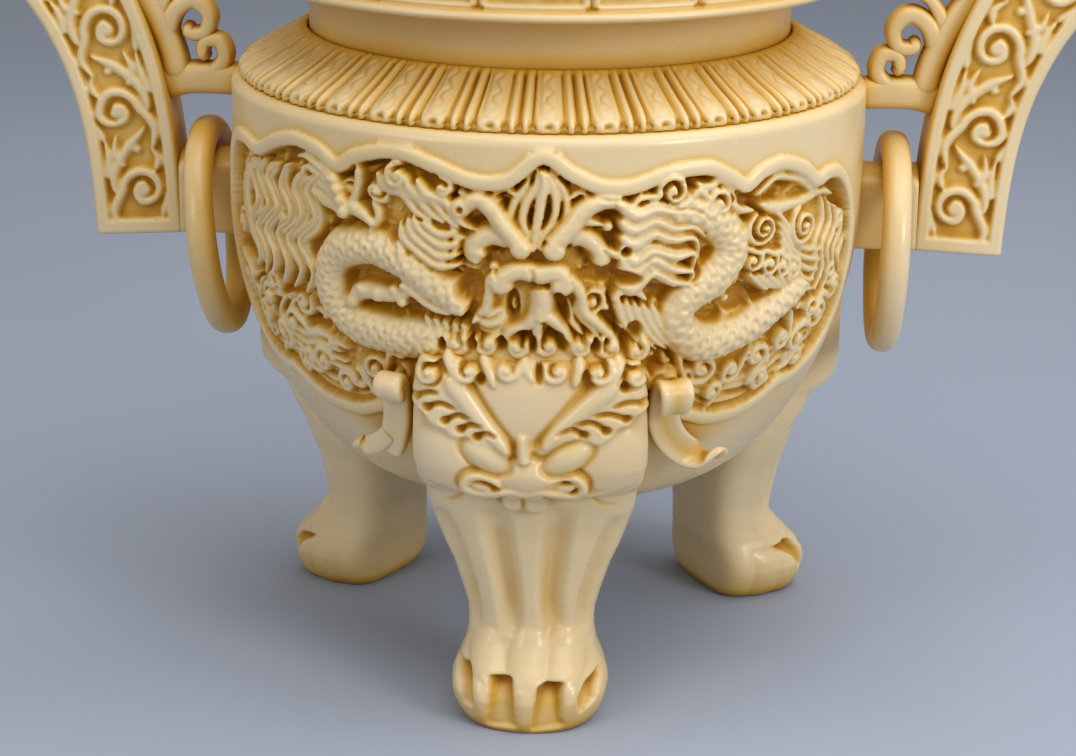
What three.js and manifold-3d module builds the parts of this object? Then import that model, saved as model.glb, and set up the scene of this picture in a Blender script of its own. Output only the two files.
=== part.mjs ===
// A covered tripod censer of cast ivory-coloured resin: a bellied bowl with two framed panels, a reeded
// shoulder, a neck with a fretted rim, a pierced domed lid with a bud finial, three lion-masked paw legs,
// and two scroll handles that each carry a loose ring. Millimetres, +Z up, the origin on the ground
// under the bowl's axis. The front leg points along -Y and the handles lie along X.

import * as THREE from "three";
import { mergeVertices } from "three/addons/utils/BufferGeometryUtils.js";
import Module from "manifold-3d";

const wasm = await Module();
wasm.setup();

// Fits
const GLUE = 0.3; // the gap left for glue between cast pieces
const RUNNING = 0.35; // between a loose ring and the lug it hangs on

// Bowl
const BELLY_RADIUS = 60;
const BASE_Z = 36; // underside of the bowl
const BASE_RADIUS = 32; // of its flat underside
const BAND_BOTTOM_Z = 90; // where the smooth band starts to curve in
const BAND_TOP_Z = 112;
const BOWL_WALL = 7;
const BELLY_FULLNESS = 22; // how far the belly keeps its width below the band
const BELLY_SWELL = 0.58; // of the way from the base's edge to the widest, right above the base
const BASE_LIFT = 4; // of the belly's curve where it leaves the base
const BAND_EDGE = 2; // rounding of the band's top edge

// Raised frame round each carved panel
const PANEL_HALF_ANGLE = 73.53; // degrees round the belly, from its middle to the side's middle line
const PANEL_HEIGHT = 49.5; // from its topmost to its lowest middle line
const FRAME_TOP_DROP = 5; // from the band's top edge to the frame's highest point
const FRAME_WIDTH = 3.4;
const FRAME_PROUD = 1;
const FRAME_ROOT = 3.2; // how deep the frame is rooted in the wall

// Carving inside each frame
const FIELD_DEPTH = 2.4; // of its ground below the belly
const FORM_ROOT = 1.6; // how deep a carved form goes into what carries it
const PANEL_GRID = 77; // units that the carving is drawn in, over half the panel's width
const PANEL_GRID_RISE = 49.5; // and over its height

// Reeded shoulder
const SHOULDER_RISE = 8.4;
const SHOULDER_PROUD = -1.6; // beyond the smooth band; below zero it stands inside it
const SPIGOT_DEPTH = 4; // into the bowl's mouth
const REED_UNITS = 36;
const GROOVE_WIDTH = 0.9;
const GROOVE_DEPTH = 0.9;

// Neck and rim
const NECK_RADIUS = 45.3;
const NECK_WALL = 4.8;
const NECK_SEAT_RISE = 4.2; // the ledge in the shoulder above the bowl's top
const NECK_HEIGHT = 13.8; // from that ledge to the rim's underside
const RIM_RADIUS = 57.2;
const RIM_LIP = 1.9;
const RIM_BAND_HEIGHT = 8.8;
const RIM_BAND_INSET = 1.6;
const LID_SEAT_WIDTH = 9.2; // of the ledge that carries the lid
const LID_RECESS = 2;

// Lid
const LID_EDGE_HEIGHT = 4.2;
const LID_FRINGE_RISE = 5;
const LID_FRINGE_WIDTH = 8.5;
const DOME_RISE = 23;
const LID_WALL = 5;
const LID_SPIGOT_DEPTH = 5;
const LID_SPIGOT_WALL = 4;
const CROWN_RADIUS = 12; // the flat top that carries the finial
const SMOKE_HOLES = 6;
const SMOKE_HOLE_RADIUS = 3.4;
const SMOKE_HOLE_SHARE = 0.42; // of the way up the dome
const SMOKE_HOLE_TILT = 42; // degrees from upright
const COLLAR_RADIUS = 6.4; // of the raised ring round each hole
const COLLAR_DEPTH = 3;
const COLLAR_SUNK = 0.4; // of its middle below the dome's scrolls
const DOME_GROUND = 1.4; // depth of the dome's ground below its scrolls
const DOME_SCROLL_WIDTH = 5;

// Finial
const FINIAL_HEIGHT = 31;
const FINIAL_FOOT_RADIUS = 10.5;
const FINIAL_WAIST_RADIUS = 5;
const FINIAL_BUD_RADIUS = 10;
const FINIAL_PEG_RADIUS = 2.2;
const FINIAL_PEG_DEPTH = 10; // into the finial

// Legs, each turned about the bowl's axis
const LEG_ANGLES = { front: 0, back_right: 120, back_left: -120 };
const FOOT_INSET = 16; // of the paw's middle from the belly's widest
const PAW_REACH = 13.8; // in front of the paw's middle
const SOLE_HALF_WIDTH = 11.4;
const PAW_HALF_WIDTH = 14.4;
const PAW_HEIGHT = 12.5;
const ANKLE_HALF_WIDTH = 11.6;
const ANKLE_HALF_DEPTH = 8;
const ANKLE_INSET = 2; // of the ankle's middle from the paw's
const ANKLE_RISE = 4.5; // of the ankle's narrowest above the paw
const KNEE_HALF_WIDTH = 19.2;
const MASK_CHIN_Z = 46.5;
const MASK_TOP_Z = 71;
const MASK_HALF_WIDTH = 20.8;
const MASK_PROUD = 7; // beyond the bowl's outer face behind the mask's middle
const CLAWS = 4;
const CLAW_SLOT_WIDTH = 4.4;
const CLAW_SLOT_HEIGHT = 9.5;
const CLAW_SLOT_DEPTH = 2.2;
const LEG_PEG_RADIUS = 2.5;
const LEG_PEG_INSET = 2; // of the peg from the paw's middle
const LEG_PEG_INTO_BOWL = 4.5;
const LEG_PEG_INTO_LEG = 14;

// Scroll tabs beside the front leg's mask
const TAB_WIDTH = 5.6;
const TAB_THICKNESS = 2.4;
const TAB_HEIGHT = 16;
const TAB_STAND_OFF = 4.2; // of its lower end from the bowl
const TAB_ANGLE = 25.6; // of its head from the leg's middle
const TAB_SWEEP = { left: 3.4, right: 12 }; // of its lower end away from the leg
const TAB_TOP_Z = 67;

// Handles
const HANDLE_GAP = 10; // from the belly to the handle's inner edge
const HANDLE_THICKNESS = 13;
const HANDLE_BOTTOM_Z = 79.5;
const HANDLE_BOTTOM_WIDTH = 16.6;
const HANDLE_TOP_WIDTH = 23;
const HANDLE_RISE = 90;
const HANDLE_FLARE = 28; // how far the top stands out beyond the bottom
const HANDLE_BORDER = 2.4;
const HANDLE_RECESS = 1.2;
const LUG_HEIGHT = 15.5; // of the bar between bowl and handle, at its crest
const LUG_CROWN = 2.3; // the crest's rise over the lug's edges
const BRACKET_THICKNESS = 6.6;
const BRACKET_STRUT_RISE = 29; // of the strut above the handle's bottom
const BRACKET_STRUT_WIDTH = 5;
const BRACKET_RISE = 46; // from the strut to its highest curl
const BRACKET_GRID = 46; // units that the curls are drawn in, over that rise
const LOWER_PIN_RADIUS = 1.6;
const UPPER_PIN_RADIUS = 1.1;
const PIN_INTO_BOWL = 4.6;
const LOWER_PIN_INTO_HANDLE = 5.5;
const UPPER_PIN_INTO_HANDLE = 3;

// Loose rings
const RING_OFFSET = 6; // from the belly to the ring's middle plane
const RING_TUBE_RADIUS = 2.75;
const RING_RADIUS = 18.6; // to the tube's middle
const RING_LEAN = { left: 6.5, right: 1.5 }; // degrees in towards the bowl, as they hang

const ROUND = 48; // segments of a full turn
const degrees = (angle) => (angle * Math.PI) / 180;

const resin = new THREE.MeshStandardMaterial({ color: 0xd8c294, roughness: 0.38, metalness: 0 });
const paleResin = new THREE.MeshStandardMaterial({ color: 0xddcba3, roughness: 0.3, metalness: 0 });
const steel = new THREE.MeshStandardMaterial({ color: 0x8f9296, roughness: 0.4, metalness: 1 });

// A closed geometry as a solid that can be cut and joined.
function solidOf(geometry) {
  const plain = new THREE.BufferGeometry();
  plain.setAttribute("position", geometry.getAttribute("position"));
  plain.setIndex(geometry.index);
  const merged = mergeVertices(plain, 1e-4);
  const corners = merged.index.array;
  const kept = [];
  for (let i = 0; i < corners.length; i += 3) {
    const [a, b, c] = [corners[i], corners[i + 1], corners[i + 2]];
    if (a !== b && b !== c && c !== a) kept.push(a, b, c);
  }
  const mesh = new wasm.Mesh({
    numProp: 3,
    vertProperties: new Float32Array(merged.getAttribute("position").array),
    triVerts: new Uint32Array(kept),
  });
  return new wasm.Manifold(mesh);
}

function geometryOf(solid) {
  const mesh = solid.getMesh();
  const geometry = new THREE.BufferGeometry();
  const positions = new Float32Array(mesh.numVert * 3);
  for (let i = 0; i < mesh.numVert; i++) {
    positions.set(mesh.vertProperties.subarray(i * mesh.numProp, i * mesh.numProp + 3), i * 3);
  }
  geometry.setAttribute("position", new THREE.BufferAttribute(positions, 3));
  geometry.setIndex(new THREE.BufferAttribute(mesh.triVerts, 1));
  geometry.computeVertexNormals();
  return geometry;
}

function node(name, solid, material) {
  const mesh = new THREE.Mesh(geometryOf(solid), material);
  mesh.name = name;
  return mesh;
}

// A profile of [radius, height] pairs, listed up the outside and back down the inside, spun about Z.
function turned(profile, segments = ROUND) {
  const points = profile.map(([radius, height]) => new THREE.Vector2(Math.max(radius, 0), height));
  const geometry = new THREE.LatheGeometry(points, segments);
  geometry.rotateX(Math.PI / 2);
  return solidOf(geometry);
}

function cylinder(radius, length, segments = 16) {
  const geometry = new THREE.CylinderGeometry(radius, radius, length, segments);
  geometry.rotateX(Math.PI / 2);
  return geometry;
}

// A vertical peg or hole from one height to another.
function uprightRod(radius, distance, bottom, top) {
  return solidOf(cylinder(radius, top - bottom).translate(0, -distance, (top + bottom) / 2));
}

// A dowel along X that joins a handle to the belly, or with a clearance the hole for it.
function handlePin({ radius, height, intoHandle }, clearance = 0) {
  const from = BELLY_RADIUS - PIN_INTO_BOWL - clearance;
  const to = BELLY_RADIUS + intoHandle + clearance;
  const geometry = cylinder(radius + clearance, to - from).rotateY(Math.PI / 2);
  return solidOf(geometry.translate((from + to) / 2, 0, height));
}

// An outline in X and Z, extruded along Y about the middle plane.
function slab(outline, thickness) {
  const geometry = new THREE.ExtrudeGeometry(new THREE.Shape(outline), {
    depth: thickness,
    bevelEnabled: false,
    curveSegments: 8,
  });
  geometry.translate(0, 0, -thickness / 2).rotateX(Math.PI / 2);
  return solidOf(geometry);
}

// Loops of points, one above the other and all alike in number, skinned and closed with end fans.
function lofted(loops) {
  const count = loops[0].length;
  const positions = [];
  const faces = [];
  for (const loop of loops) for (const point of loop) positions.push(...point);
  for (let level = 0; level + 1 < loops.length; level++) {
    for (let i = 0; i < count; i++) {
      const a = level * count + i;
      const b = level * count + ((i + 1) % count);
      faces.push(a, b, b + count, a, b + count, a + count);
    }
  }
  for (const [level, turn] of [[0, true], [loops.length - 1, false]]) {
    const middle = positions.length / 3;
    const loop = loops[level];
    for (let axis = 0; axis < 3; axis++) {
      positions.push(loop.reduce((sum, point) => sum + point[axis], 0) / count);
    }
    for (let i = 0; i < count; i++) {
      const a = level * count + i;
      const b = level * count + ((i + 1) % count);
      faces.push(...(turn ? [middle, b, a] : [middle, a, b]));
    }
  }
  const geometry = new THREE.BufferGeometry();
  geometry.setAttribute("position", new THREE.Float32BufferAttribute(positions, 3));
  geometry.setIndex(faces);
  return solidOf(geometry);
}

// A raised bar with sloping sides, laid along points on a surface. The surface gives the place of a point
// on it and an offset outwards.
function carvedBar(surface, points, width, proud, root) {
  const curve = new THREE.SplineCurve(points.map(([across, up]) => new THREE.Vector2(across, up)));
  const steps = points.length;
  const loops = [];
  for (let i = 0; i <= steps; i++) {
    const point = curve.getPoint(i / steps);
    const along = curve.getTangent(i / steps);
    const half = (i === 0 || i === steps ? 0.3 : 0.5) * width;
    const edge = (side, offset) => surface(
      point.x + side * half * along.y,
      point.y - side * half * along.x,
      offset,
    );
    loops.push([edge(-1, -root), edge(-0.6, proud), edge(0.6, proud), edge(1, -root)]);
  }
  return lofted(loops);
}

// The bowl's outer profile, from the axis under the base to the top of the band.
const BELLY_STEPS = 8;
const bellyCurve = new THREE.CubicBezierCurve(
  new THREE.Vector2(BASE_RADIUS, BASE_Z),
  new THREE.Vector2(BASE_RADIUS + BELLY_SWELL * (BELLY_RADIUS - BASE_RADIUS), BASE_Z + BASE_LIFT),
  new THREE.Vector2(BELLY_RADIUS, BAND_BOTTOM_Z - BELLY_FULLNESS),
  new THREE.Vector2(BELLY_RADIUS, BAND_BOTTOM_Z),
);

function bowlProfile(offset) {
  const points = [[0, BASE_Z - offset]];
  for (let i = 0; i <= BELLY_STEPS; i++) {
    const point = bellyCurve.getPoint(i / BELLY_STEPS);
    const along = i ? bellyCurve.getTangent(i / BELLY_STEPS) : new THREE.Vector2(1, 0);
    points.push([point.x + along.y * offset, point.y - along.x * offset]);
  }
  return points;
}

function radiusAt(height, offset = 0) {
  const profile = bowlProfile(offset);
  if (height >= BAND_BOTTOM_Z) return BELLY_RADIUS + offset;
  for (let i = 2; i < profile.length; i++) {
    const [r0, z0] = profile[i - 1];
    const [r1, z1] = profile[i];
    if (height <= z1) return r0 + ((r1 - r0) * Math.max(height - z0, 0)) / (z1 - z0);
  }
  return BELLY_RADIUS + offset;
}

function heightAt(radius) {
  const profile = bowlProfile(0);
  for (let i = 2; i < profile.length; i++) {
    const [r0, z0] = profile[i - 1];
    const [r1, z1] = profile[i];
    if (radius <= r1) return z0 + ((z1 - z0) * Math.max(radius - r0, 0)) / (r1 - r0);
  }
  return BAND_BOTTOM_Z;
}

// Everything within the bowl's outer surface, grown by an offset, for cutting what is glued to it.
function bowlVolume(offset) {
  const top = BAND_TOP_Z + offset;
  return turned([...bowlProfile(offset), [BELLY_RADIUS + offset, top], [0, top]]);
}

// The frame's middle line: scalloped edges that meet in cusps, mirrored about the panel's middle.
function frameLine() {
  const top = BAND_TOP_Z - FRAME_TOP_DROP - FRAME_WIDTH / 2;
  const halfWidth = BELLY_RADIUS * degrees(PANEL_HALF_ANGLE);
  // As shares of the half width, and of the height downwards
  const half = [
    [0, -0.012], [0.045, 0.044], [0.104, 0.085], [0.169, 0.087], [0.247, 0.04], [0.325, 0.004],
    [0.403, 0.012], [0.468, 0.057], [0.513, 0.097], [0.565, 0.053], [0.63, 0.034], [0.701, 0.061],
    [0.76, 0.113], [0.805, 0.099], [0.87, 0.109], [0.929, 0.166], [0.968, 0.263], [0.987, 0.384],
    [1, 0.525], [0.994, 0.667], [0.955, 0.778], [0.883, 0.838], [0.818, 0.873], [0.727, 0.877],
    [0.675, 0.933], [0.597, 0.97], [0.494, 0.97], [0.403, 0.929], [0.325, 0.939], [0.234, 0.98],
    [0.117, 1],
  ].map(([across, down]) => [across * halfWidth, top - down * PANEL_HEIGHT]);
  const other = half.slice(1).reverse().map(([along, height]) => [-along, height]);
  return [...half, [0, top - PANEL_HEIGHT], ...other];
}

// One frame as a raised strip laid on the belly round the given direction, grown by a clearance where it
// is cut out of a neighbour.
function frame(direction, clearance = 0) {
  const line = frameLine();
  const count = line.length;
  const corner = ([along, height], radialOffset) => {
    const angle = direction + along / BELLY_RADIUS;
    const radius = radiusAt(height) + radialOffset;
    return [radius * Math.cos(angle), radius * Math.sin(angle), height];
  };
  const positions = [];
  const faces = [];
  line.forEach((point, i) => {
    const before = line[(i + count - 1) % count];
    const after = line[(i + 1) % count];
    const run = Math.hypot(after[0] - before[0], after[1] - before[1]);
    const across = [(after[1] - before[1]) / run, -(after[0] - before[0]) / run];
    const edge = (side) => [
      point[0] + side * across[0] * (FRAME_WIDTH / 2 + clearance),
      point[1] + side * across[1] * (FRAME_WIDTH / 2 + clearance),
    ];
    const proud = FRAME_PROUD + clearance;
    const section = [[-1, -FRAME_ROOT], [-1, proud], [1, proud], [1, -FRAME_ROOT]];
    for (const [side, radial] of section) positions.push(...corner(edge(side), radial));
  });
  const sides = 4;
  for (let i = 0; i < count; i++) {
    for (let j = 0; j < sides; j++) {
      const a = i * sides + j;
      const b = i * sides + ((j + 1) % sides);
      const c = ((i + 1) % count) * sides + ((j + 1) % sides);
      const d = ((i + 1) % count) * sides + j;
      faces.push(a, b, c, a, c, d);
    }
  }
  const geometry = new THREE.BufferGeometry();
  geometry.setAttribute("position", new THREE.Float32BufferAttribute(positions, 3));
  geometry.setIndex(faces);
  return solidOf(geometry);
}

// The height of the frame's line at a place across the panel, along its upper or its lower edge.
function frameHeight(edge, across) {
  const next = edge.findIndex(([along]) => along >= across);
  if (next < 1) return edge.at(next)[1];
  const [[u0, v0], [u1, v1]] = [edge[next - 1], edge[next]];
  return v0 + ((v1 - v0) * (across - u0)) / (u1 - u0);
}

// The room inside a frame, from the carving's ground outwards, for cutting the field out of the belly.
function field(direction) {
  const line = frameLine();
  line.length = Math.ceil(line.length / 2);
  const widest = line.reduce((most, [along], i) => (along > line[most][0] ? i : most), 0);
  const upper = line.slice(0, widest + 1);
  const lower = line.slice(widest).reverse();
  const last = 0.985 * line[widest][0];
  const stations = [...upper.slice(0, -2).map(([along]) => along), last];
  const levels = [0, 0.35, 1];
  const beyond = 6;
  const loops = [...stations.slice(1).reverse().map((along) => -along), ...stations].map((along) => {
    const top = frameHeight(upper, Math.abs(along));
    const bottom = frameHeight(lower, Math.abs(along));
    const angle = direction + along / BELLY_RADIUS;
    const corner = (height, offset) => {
      const radius = radiusAt(height) + offset;
      return [radius * Math.cos(angle), radius * Math.sin(angle), height];
    };
    const ground = levels.map((share) => corner(bottom + share * (top - bottom), -FIELD_DEPTH));
    return [...ground, corner(top, beyond), corner(bottom, beyond)];
  });
  return lofted(loops);
}

// The carving's main forms, in grid units across from the panel's middle and up from its lowest line:
// points, width and height above the belly.
const CARVING = [
  // Left dragon's coil, its foreclaw, mane and the waves behind it
  [[[-13, 20], [-22, 18.5], [-32, 19.5], [-38, 24.5], [-37, 31], [-30, 34.5], [-21, 32], [-13, 27]], 8, 1.6],
  [[[-48, 46], [-40, 43.5], [-33, 40], [-27, 39]], 7, 1],
  [[[-25, 48], [-18, 43], [-13, 37]], 8, 1.2],
  [[[-58, 43], [-61, 35], [-57, 27], [-60, 20]], 12, 0.1],
  [[[-68, 19], [-56, 13], [-44, 10], [-32, 11.5], [-22, 10]], 7, -0.2],
  // The beast's brow, nose and cheeks
  [[[-7, 31], [1, 33.5], [8, 31]], 5, 2.4],
  [[[2, 33], [1.5, 26], [1, 18]], 6, 2.2],
  [[[-7, 30], [-9, 25], [-5, 18]], 5, 1],
  [[[9, 30], [11, 25], [7, 18]], 5, 1],
  // Horns that meet over the nose, with the hair between them
  [[[-13, 43.5], [-8, 44.5], [-4, 40], [-1.5, 36]], 4, 1.8],
  [[[16, 45], [11, 45], [7, 40.5], [4, 36]], 4, 1.8],
  [[[1, 51], [1, 46], [1, 40]], 6, 0.8],
  // Teeth and folds over the leg
  [[[-16, 18.5], [-6, 19.2], [6, 19.2], [17, 18.5]], 5, 1],
  // Right dragon's mane, coil and beard
  [[[14, 40], [21, 39.5], [28, 34.5]], 8, 1],
  [[
    [23, 43], [31, 42.5], [37, 37], [34.5, 31], [28, 26.5], [29.5, 20], [38, 18], [48, 21], [56, 26],
  ], 8.4, 1.6],
  [[[15, 28], [18, 23], [23, 18.5]], 7, 0.8],
  // Clouds and waves on the right
  [[[42, 44], [52, 44], [62, 40]], 5, 0.2],
  [[[45, 36], [55, 33.5], [65, 29]], 8, -0.2],
  [[[28, 11], [40, 10.5], [52, 14], [65, 21]], 7, -0.2],
];

function carving(direction) {
  const line = frameLine();
  const lowest = Math.min(...line.map(([, height]) => height));
  const unit = (BELLY_RADIUS * degrees(PANEL_HALF_ANGLE)) / PANEL_GRID;
  const rise = PANEL_HEIGHT / PANEL_GRID_RISE;
  const belly = (across, up, offset) => {
    const height = lowest + up * rise;
    const angle = direction + (across * unit) / BELLY_RADIUS;
    const radius = radiusAt(height) + offset;
    return [radius * Math.cos(angle), radius * Math.sin(angle), height];
  };
  return wasm.Manifold.union(CARVING.map(
    ([points, width, proud]) => carvedBar(belly, points, width, proud, FIELD_DEPTH + FORM_ROOT),
  ));
}

const footRadius = BELLY_RADIUS - FOOT_INSET;
const legPegDistance = footRadius - LEG_PEG_INSET;
const legPegTop = heightAt(legPegDistance) + LEG_PEG_INTO_BOWL;
const legPegBottom = heightAt(legPegDistance) - LEG_PEG_INTO_LEG;
const lugCrestZ = HANDLE_BOTTOM_Z + LUG_HEIGHT;
const lugMiddleZ = HANDLE_BOTTOM_Z + LUG_HEIGHT / 2;
const strutZ = HANDLE_BOTTOM_Z + BRACKET_STRUT_RISE;
const PINS = {
  lower: { radius: LOWER_PIN_RADIUS, height: lugMiddleZ, intoHandle: LOWER_PIN_INTO_HANDLE },
  upper: { radius: UPPER_PIN_RADIUS, height: strutZ, intoHandle: UPPER_PIN_INTO_HANDLE },
};

function bowl() {
  const inner = bowlProfile(-BOWL_WALL).slice(1).filter((point, i) => i % 2 === 0).reverse();
  const mouth = BELLY_RADIUS - BOWL_WALL;
  let solid = turned([
    ...bowlProfile(0),
    [BELLY_RADIUS, BAND_TOP_Z - BAND_EDGE],
    [BELLY_RADIUS - 0.25 * BAND_EDGE, BAND_TOP_Z - 0.35 * BAND_EDGE],
    [BELLY_RADIUS - 0.75 * BAND_EDGE, BAND_TOP_Z],
    [mouth, BAND_TOP_Z],
    ...inner,
    [0, BASE_Z + BOWL_WALL],
  ]);
  for (const direction of [-Math.PI / 2, Math.PI / 2]) {
    solid = solid.subtract(field(direction)).add(frame(direction));
    solid = solid.add(carving(direction));
  }
  for (const turn of Object.values(LEG_ANGLES)) {
    const hole = uprightRod(LEG_PEG_RADIUS + GLUE, legPegDistance, BASE_Z - BOWL_WALL, legPegTop + GLUE);
    solid = solid.subtract(hole.rotate([0, 0, turn]));
  }
  for (const pin of Object.values(PINS)) {
    const hole = handlePin(pin, GLUE);
    solid = solid.subtract(hole).subtract(hole.rotate([0, 0, 180]));
  }
  return solid;
}

const shoulderBottom = BAND_TOP_Z + GLUE;
const shoulderTop = shoulderBottom + SHOULDER_RISE;
const neckBottom = BAND_TOP_Z + NECK_SEAT_RISE + GLUE;
const neckBore = NECK_RADIUS - NECK_WALL;

function shoulderRing() {
  const bore = NECK_RADIUS + GLUE;
  const outer = BELLY_RADIUS + SHOULDER_PROUD;
  const spigot = BELLY_RADIUS - BOWL_WALL - GLUE;
  const seat = BAND_TOP_Z + NECK_SEAT_RISE;
  let solid = turned([
    [neckBore, shoulderBottom - SPIGOT_DEPTH],
    [spigot, shoulderBottom - SPIGOT_DEPTH],
    [spigot, shoulderBottom],
    [outer - 0.5, shoulderBottom],
    [outer, shoulderBottom + 0.7],
    [outer - 0.9, shoulderBottom + 1.9],
    [bore + 0.62 * (outer - bore), shoulderBottom + 0.52 * SHOULDER_RISE],
    [bore + 0.28 * (outer - bore), shoulderBottom + 0.82 * SHOULDER_RISE],
    [bore + 0.8, shoulderTop],
    [bore, shoulderTop],
    [bore, seat],
    [neckBore, seat],
    [neckBore, shoulderBottom - SPIGOT_DEPTH],
  ], REED_UNITS);
  const slope = Math.atan2(SHOULDER_RISE - 1.4, outer - bore);
  const length = Math.hypot(SHOULDER_RISE, outer - bore) + 4;
  const middle = [(outer + bore) / 2 + 0.4, shoulderBottom + 1.4 + SHOULDER_RISE / 2 + 0.2];
  const grooves = [];
  for (let unit = 0; unit < REED_UNITS; unit++) {
    const groove = new THREE.BoxGeometry(length, GROOVE_WIDTH, 2 * GROOVE_DEPTH);
    groove.rotateY(slope).translate(middle[0], 0, middle[1]);
    grooves.push(solidOf(groove.rotateZ((unit * 2 * Math.PI) / REED_UNITS)));
  }
  return solid.subtract(wasm.Manifold.compose(grooves));
}

const rimUnderside = neckBottom + NECK_HEIGHT;
const rimTop = rimUnderside + 2 * RIM_LIP + RIM_BAND_HEIGHT;
const lidSeatRadius = neckBore + LID_SEAT_WIDTH;
const lidSeatZ = rimTop - LID_RECESS;

function neckRing() {
  const band = RIM_RADIUS - RIM_BAND_INSET;
  return turned([
    [neckBore, neckBottom],
    [NECK_RADIUS, neckBottom],
    [NECK_RADIUS, rimUnderside - 4.5],
    [NECK_RADIUS + 1.6, rimUnderside - 1.2],
    [NECK_RADIUS + 4.6, rimUnderside],
    [RIM_RADIUS - 0.7, rimUnderside + 0.3],
    [RIM_RADIUS, rimUnderside + RIM_LIP / 2],
    [RIM_RADIUS - 0.5, rimUnderside + RIM_LIP],
    [band, rimUnderside + RIM_LIP + 0.2],
    [band, rimTop - RIM_LIP - 0.2],
    [RIM_RADIUS, rimTop - RIM_LIP / 2],
    [RIM_RADIUS - 0.6, rimTop],
    [lidSeatRadius, rimTop],
    [lidSeatRadius, lidSeatZ],
    [neckBore, lidSeatZ],
    [neckBore, neckBottom],
  ]);
}

const lidBottom = lidSeatZ + GLUE;
const lidRadius = lidSeatRadius - GLUE;
const domeBottom = lidBottom + LID_EDGE_HEIGHT + LID_FRINGE_RISE;
const domeRadius = lidRadius - LID_FRINGE_WIDTH;
const crownZ = domeBottom + DOME_RISE;

// A point of the dome's profile, from its foot at share 0 to its crown at 1, moved inwards by an offset.
function domePoint(share, offset) {
  const angle = (share * Math.PI) / 2;
  return [
    CROWN_RADIUS + (domeRadius - CROWN_RADIUS) * Math.cos(angle) - offset * Math.cos(angle),
    domeBottom + DOME_RISE * Math.sin(angle) ** 0.9 - offset * Math.sin(angle),
  ];
}

// The scrolls between the smoke holes and the ring round each hole, up to the dome's full height.
function domeCarving() {
  const arc = (Math.PI / 2) * Math.hypot(domeRadius - CROWN_RADIUS, DOME_RISE) * Math.SQRT1_2;
  const [ringRadius, ringZ] = domePoint(SMOKE_HOLE_SHARE, COLLAR_SUNK + COLLAR_DEPTH / 2);
  const [lowRadius, lowZ] = domePoint(SMOKE_HOLE_SHARE - 0.1, 0);
  const [highRadius, highZ] = domePoint(SMOKE_HOLE_SHARE + 0.1, 0);
  const ringTilt = Math.atan2(highZ - lowZ, lowRadius - highRadius);
  const forms = [];
  for (let i = 0; i < SMOKE_HOLES; i++) {
    const turn = (i * 2 * Math.PI) / SMOKE_HOLES;
    const dome = (across, up, offset) => {
      const [radius, height] = domePoint(up / arc, -offset);
      const angle = turn + across / radius;
      return [radius * Math.cos(angle), radius * Math.sin(angle), height];
    };
    const scroll = [[-9, 0.13 * arc], [-2, 0.25 * arc], [3, 0.42 * arc], [0, 0.62 * arc], [-3, 0.84 * arc]];
    forms.push(carvedBar(dome, scroll, DOME_SCROLL_WIDTH, 0, DOME_GROUND + FORM_ROOT));
    const ring = cylinder(COLLAR_RADIUS, COLLAR_DEPTH).rotateY(ringTilt).translate(ringRadius, 0, ringZ);
    forms.push(solidOf(ring.rotateZ(turn + Math.PI / SMOKE_HOLES)));
  }
  return wasm.Manifold.union(forms);
}

const LID_SEGMENTS = 36;
function lid() {
  const spigot = neckBore - GLUE;
  const well = spigot - LID_SPIGOT_WALL;
  const groundShares = [0.05, 0.2, 0.4, 0.62, 0.88];
  const innerShares = [0.88, 0.5, 0.2, 0];
  const solid = turned([
    [well, lidBottom - LID_SPIGOT_DEPTH],
    [spigot, lidBottom - LID_SPIGOT_DEPTH],
    [spigot, lidBottom],
    [lidRadius, lidBottom],
    [lidRadius, lidBottom + LID_EDGE_HEIGHT],
    [lidRadius - 0.8, lidBottom + LID_EDGE_HEIGHT + 0.8],
    domePoint(0, 0),
    ...groundShares.map((share) => domePoint(share, DOME_GROUND)),
    domePoint(0.93, 0),
    [CROWN_RADIUS, crownZ],
    [FINIAL_PEG_RADIUS + GLUE, crownZ],
    [FINIAL_PEG_RADIUS + GLUE, crownZ - LID_WALL],
    ...innerShares.map((share) => domePoint(share, LID_WALL)),
    [well, lidBottom + LID_EDGE_HEIGHT],
    [well, lidBottom - LID_SPIGOT_DEPTH],
  ], LID_SEGMENTS);
  const [holeRadius, holeZ] = domePoint(SMOKE_HOLE_SHARE, LID_WALL / 2);
  const holes = [];
  for (let i = 0; i < SMOKE_HOLES; i++) {
    const hole = cylinder(SMOKE_HOLE_RADIUS, 3 * LID_WALL, 12).rotateY(degrees(SMOKE_HOLE_TILT));
    hole.translate(holeRadius, 0, holeZ).rotateZ(((i + 0.5) * 2 * Math.PI) / SMOKE_HOLES);
    holes.push(solidOf(hole));
  }
  return solid.add(domeCarving()).subtract(wasm.Manifold.compose(holes));
}

function finial() {
  const bottom = crownZ + GLUE;
  const up = (share) => bottom + share * FINIAL_HEIGHT;
  const hole = FINIAL_PEG_RADIUS + GLUE;
  return turned([
    [hole, bottom],
    [FINIAL_FOOT_RADIUS, bottom],
    [FINIAL_FOOT_RADIUS, up(0.07)],
    [FINIAL_FOOT_RADIUS - 2.2, up(0.14)],
    [FINIAL_WAIST_RADIUS, up(0.22)],
    [FINIAL_WAIST_RADIUS, up(0.28)],
    [FINIAL_BUD_RADIUS - 1, up(0.42)],
    [FINIAL_BUD_RADIUS, up(0.54)],
    [FINIAL_BUD_RADIUS - 1.4, up(0.68)],
    [FINIAL_BUD_RADIUS / 2, up(0.84)],
    [1.6, up(0.95)],
    [0, up(1)],
    [0, bottom + FINIAL_PEG_DEPTH + GLUE],
    [hole, bottom + FINIAL_PEG_DEPTH + GLUE],
    [hole, bottom],
  ], 24);
}

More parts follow.
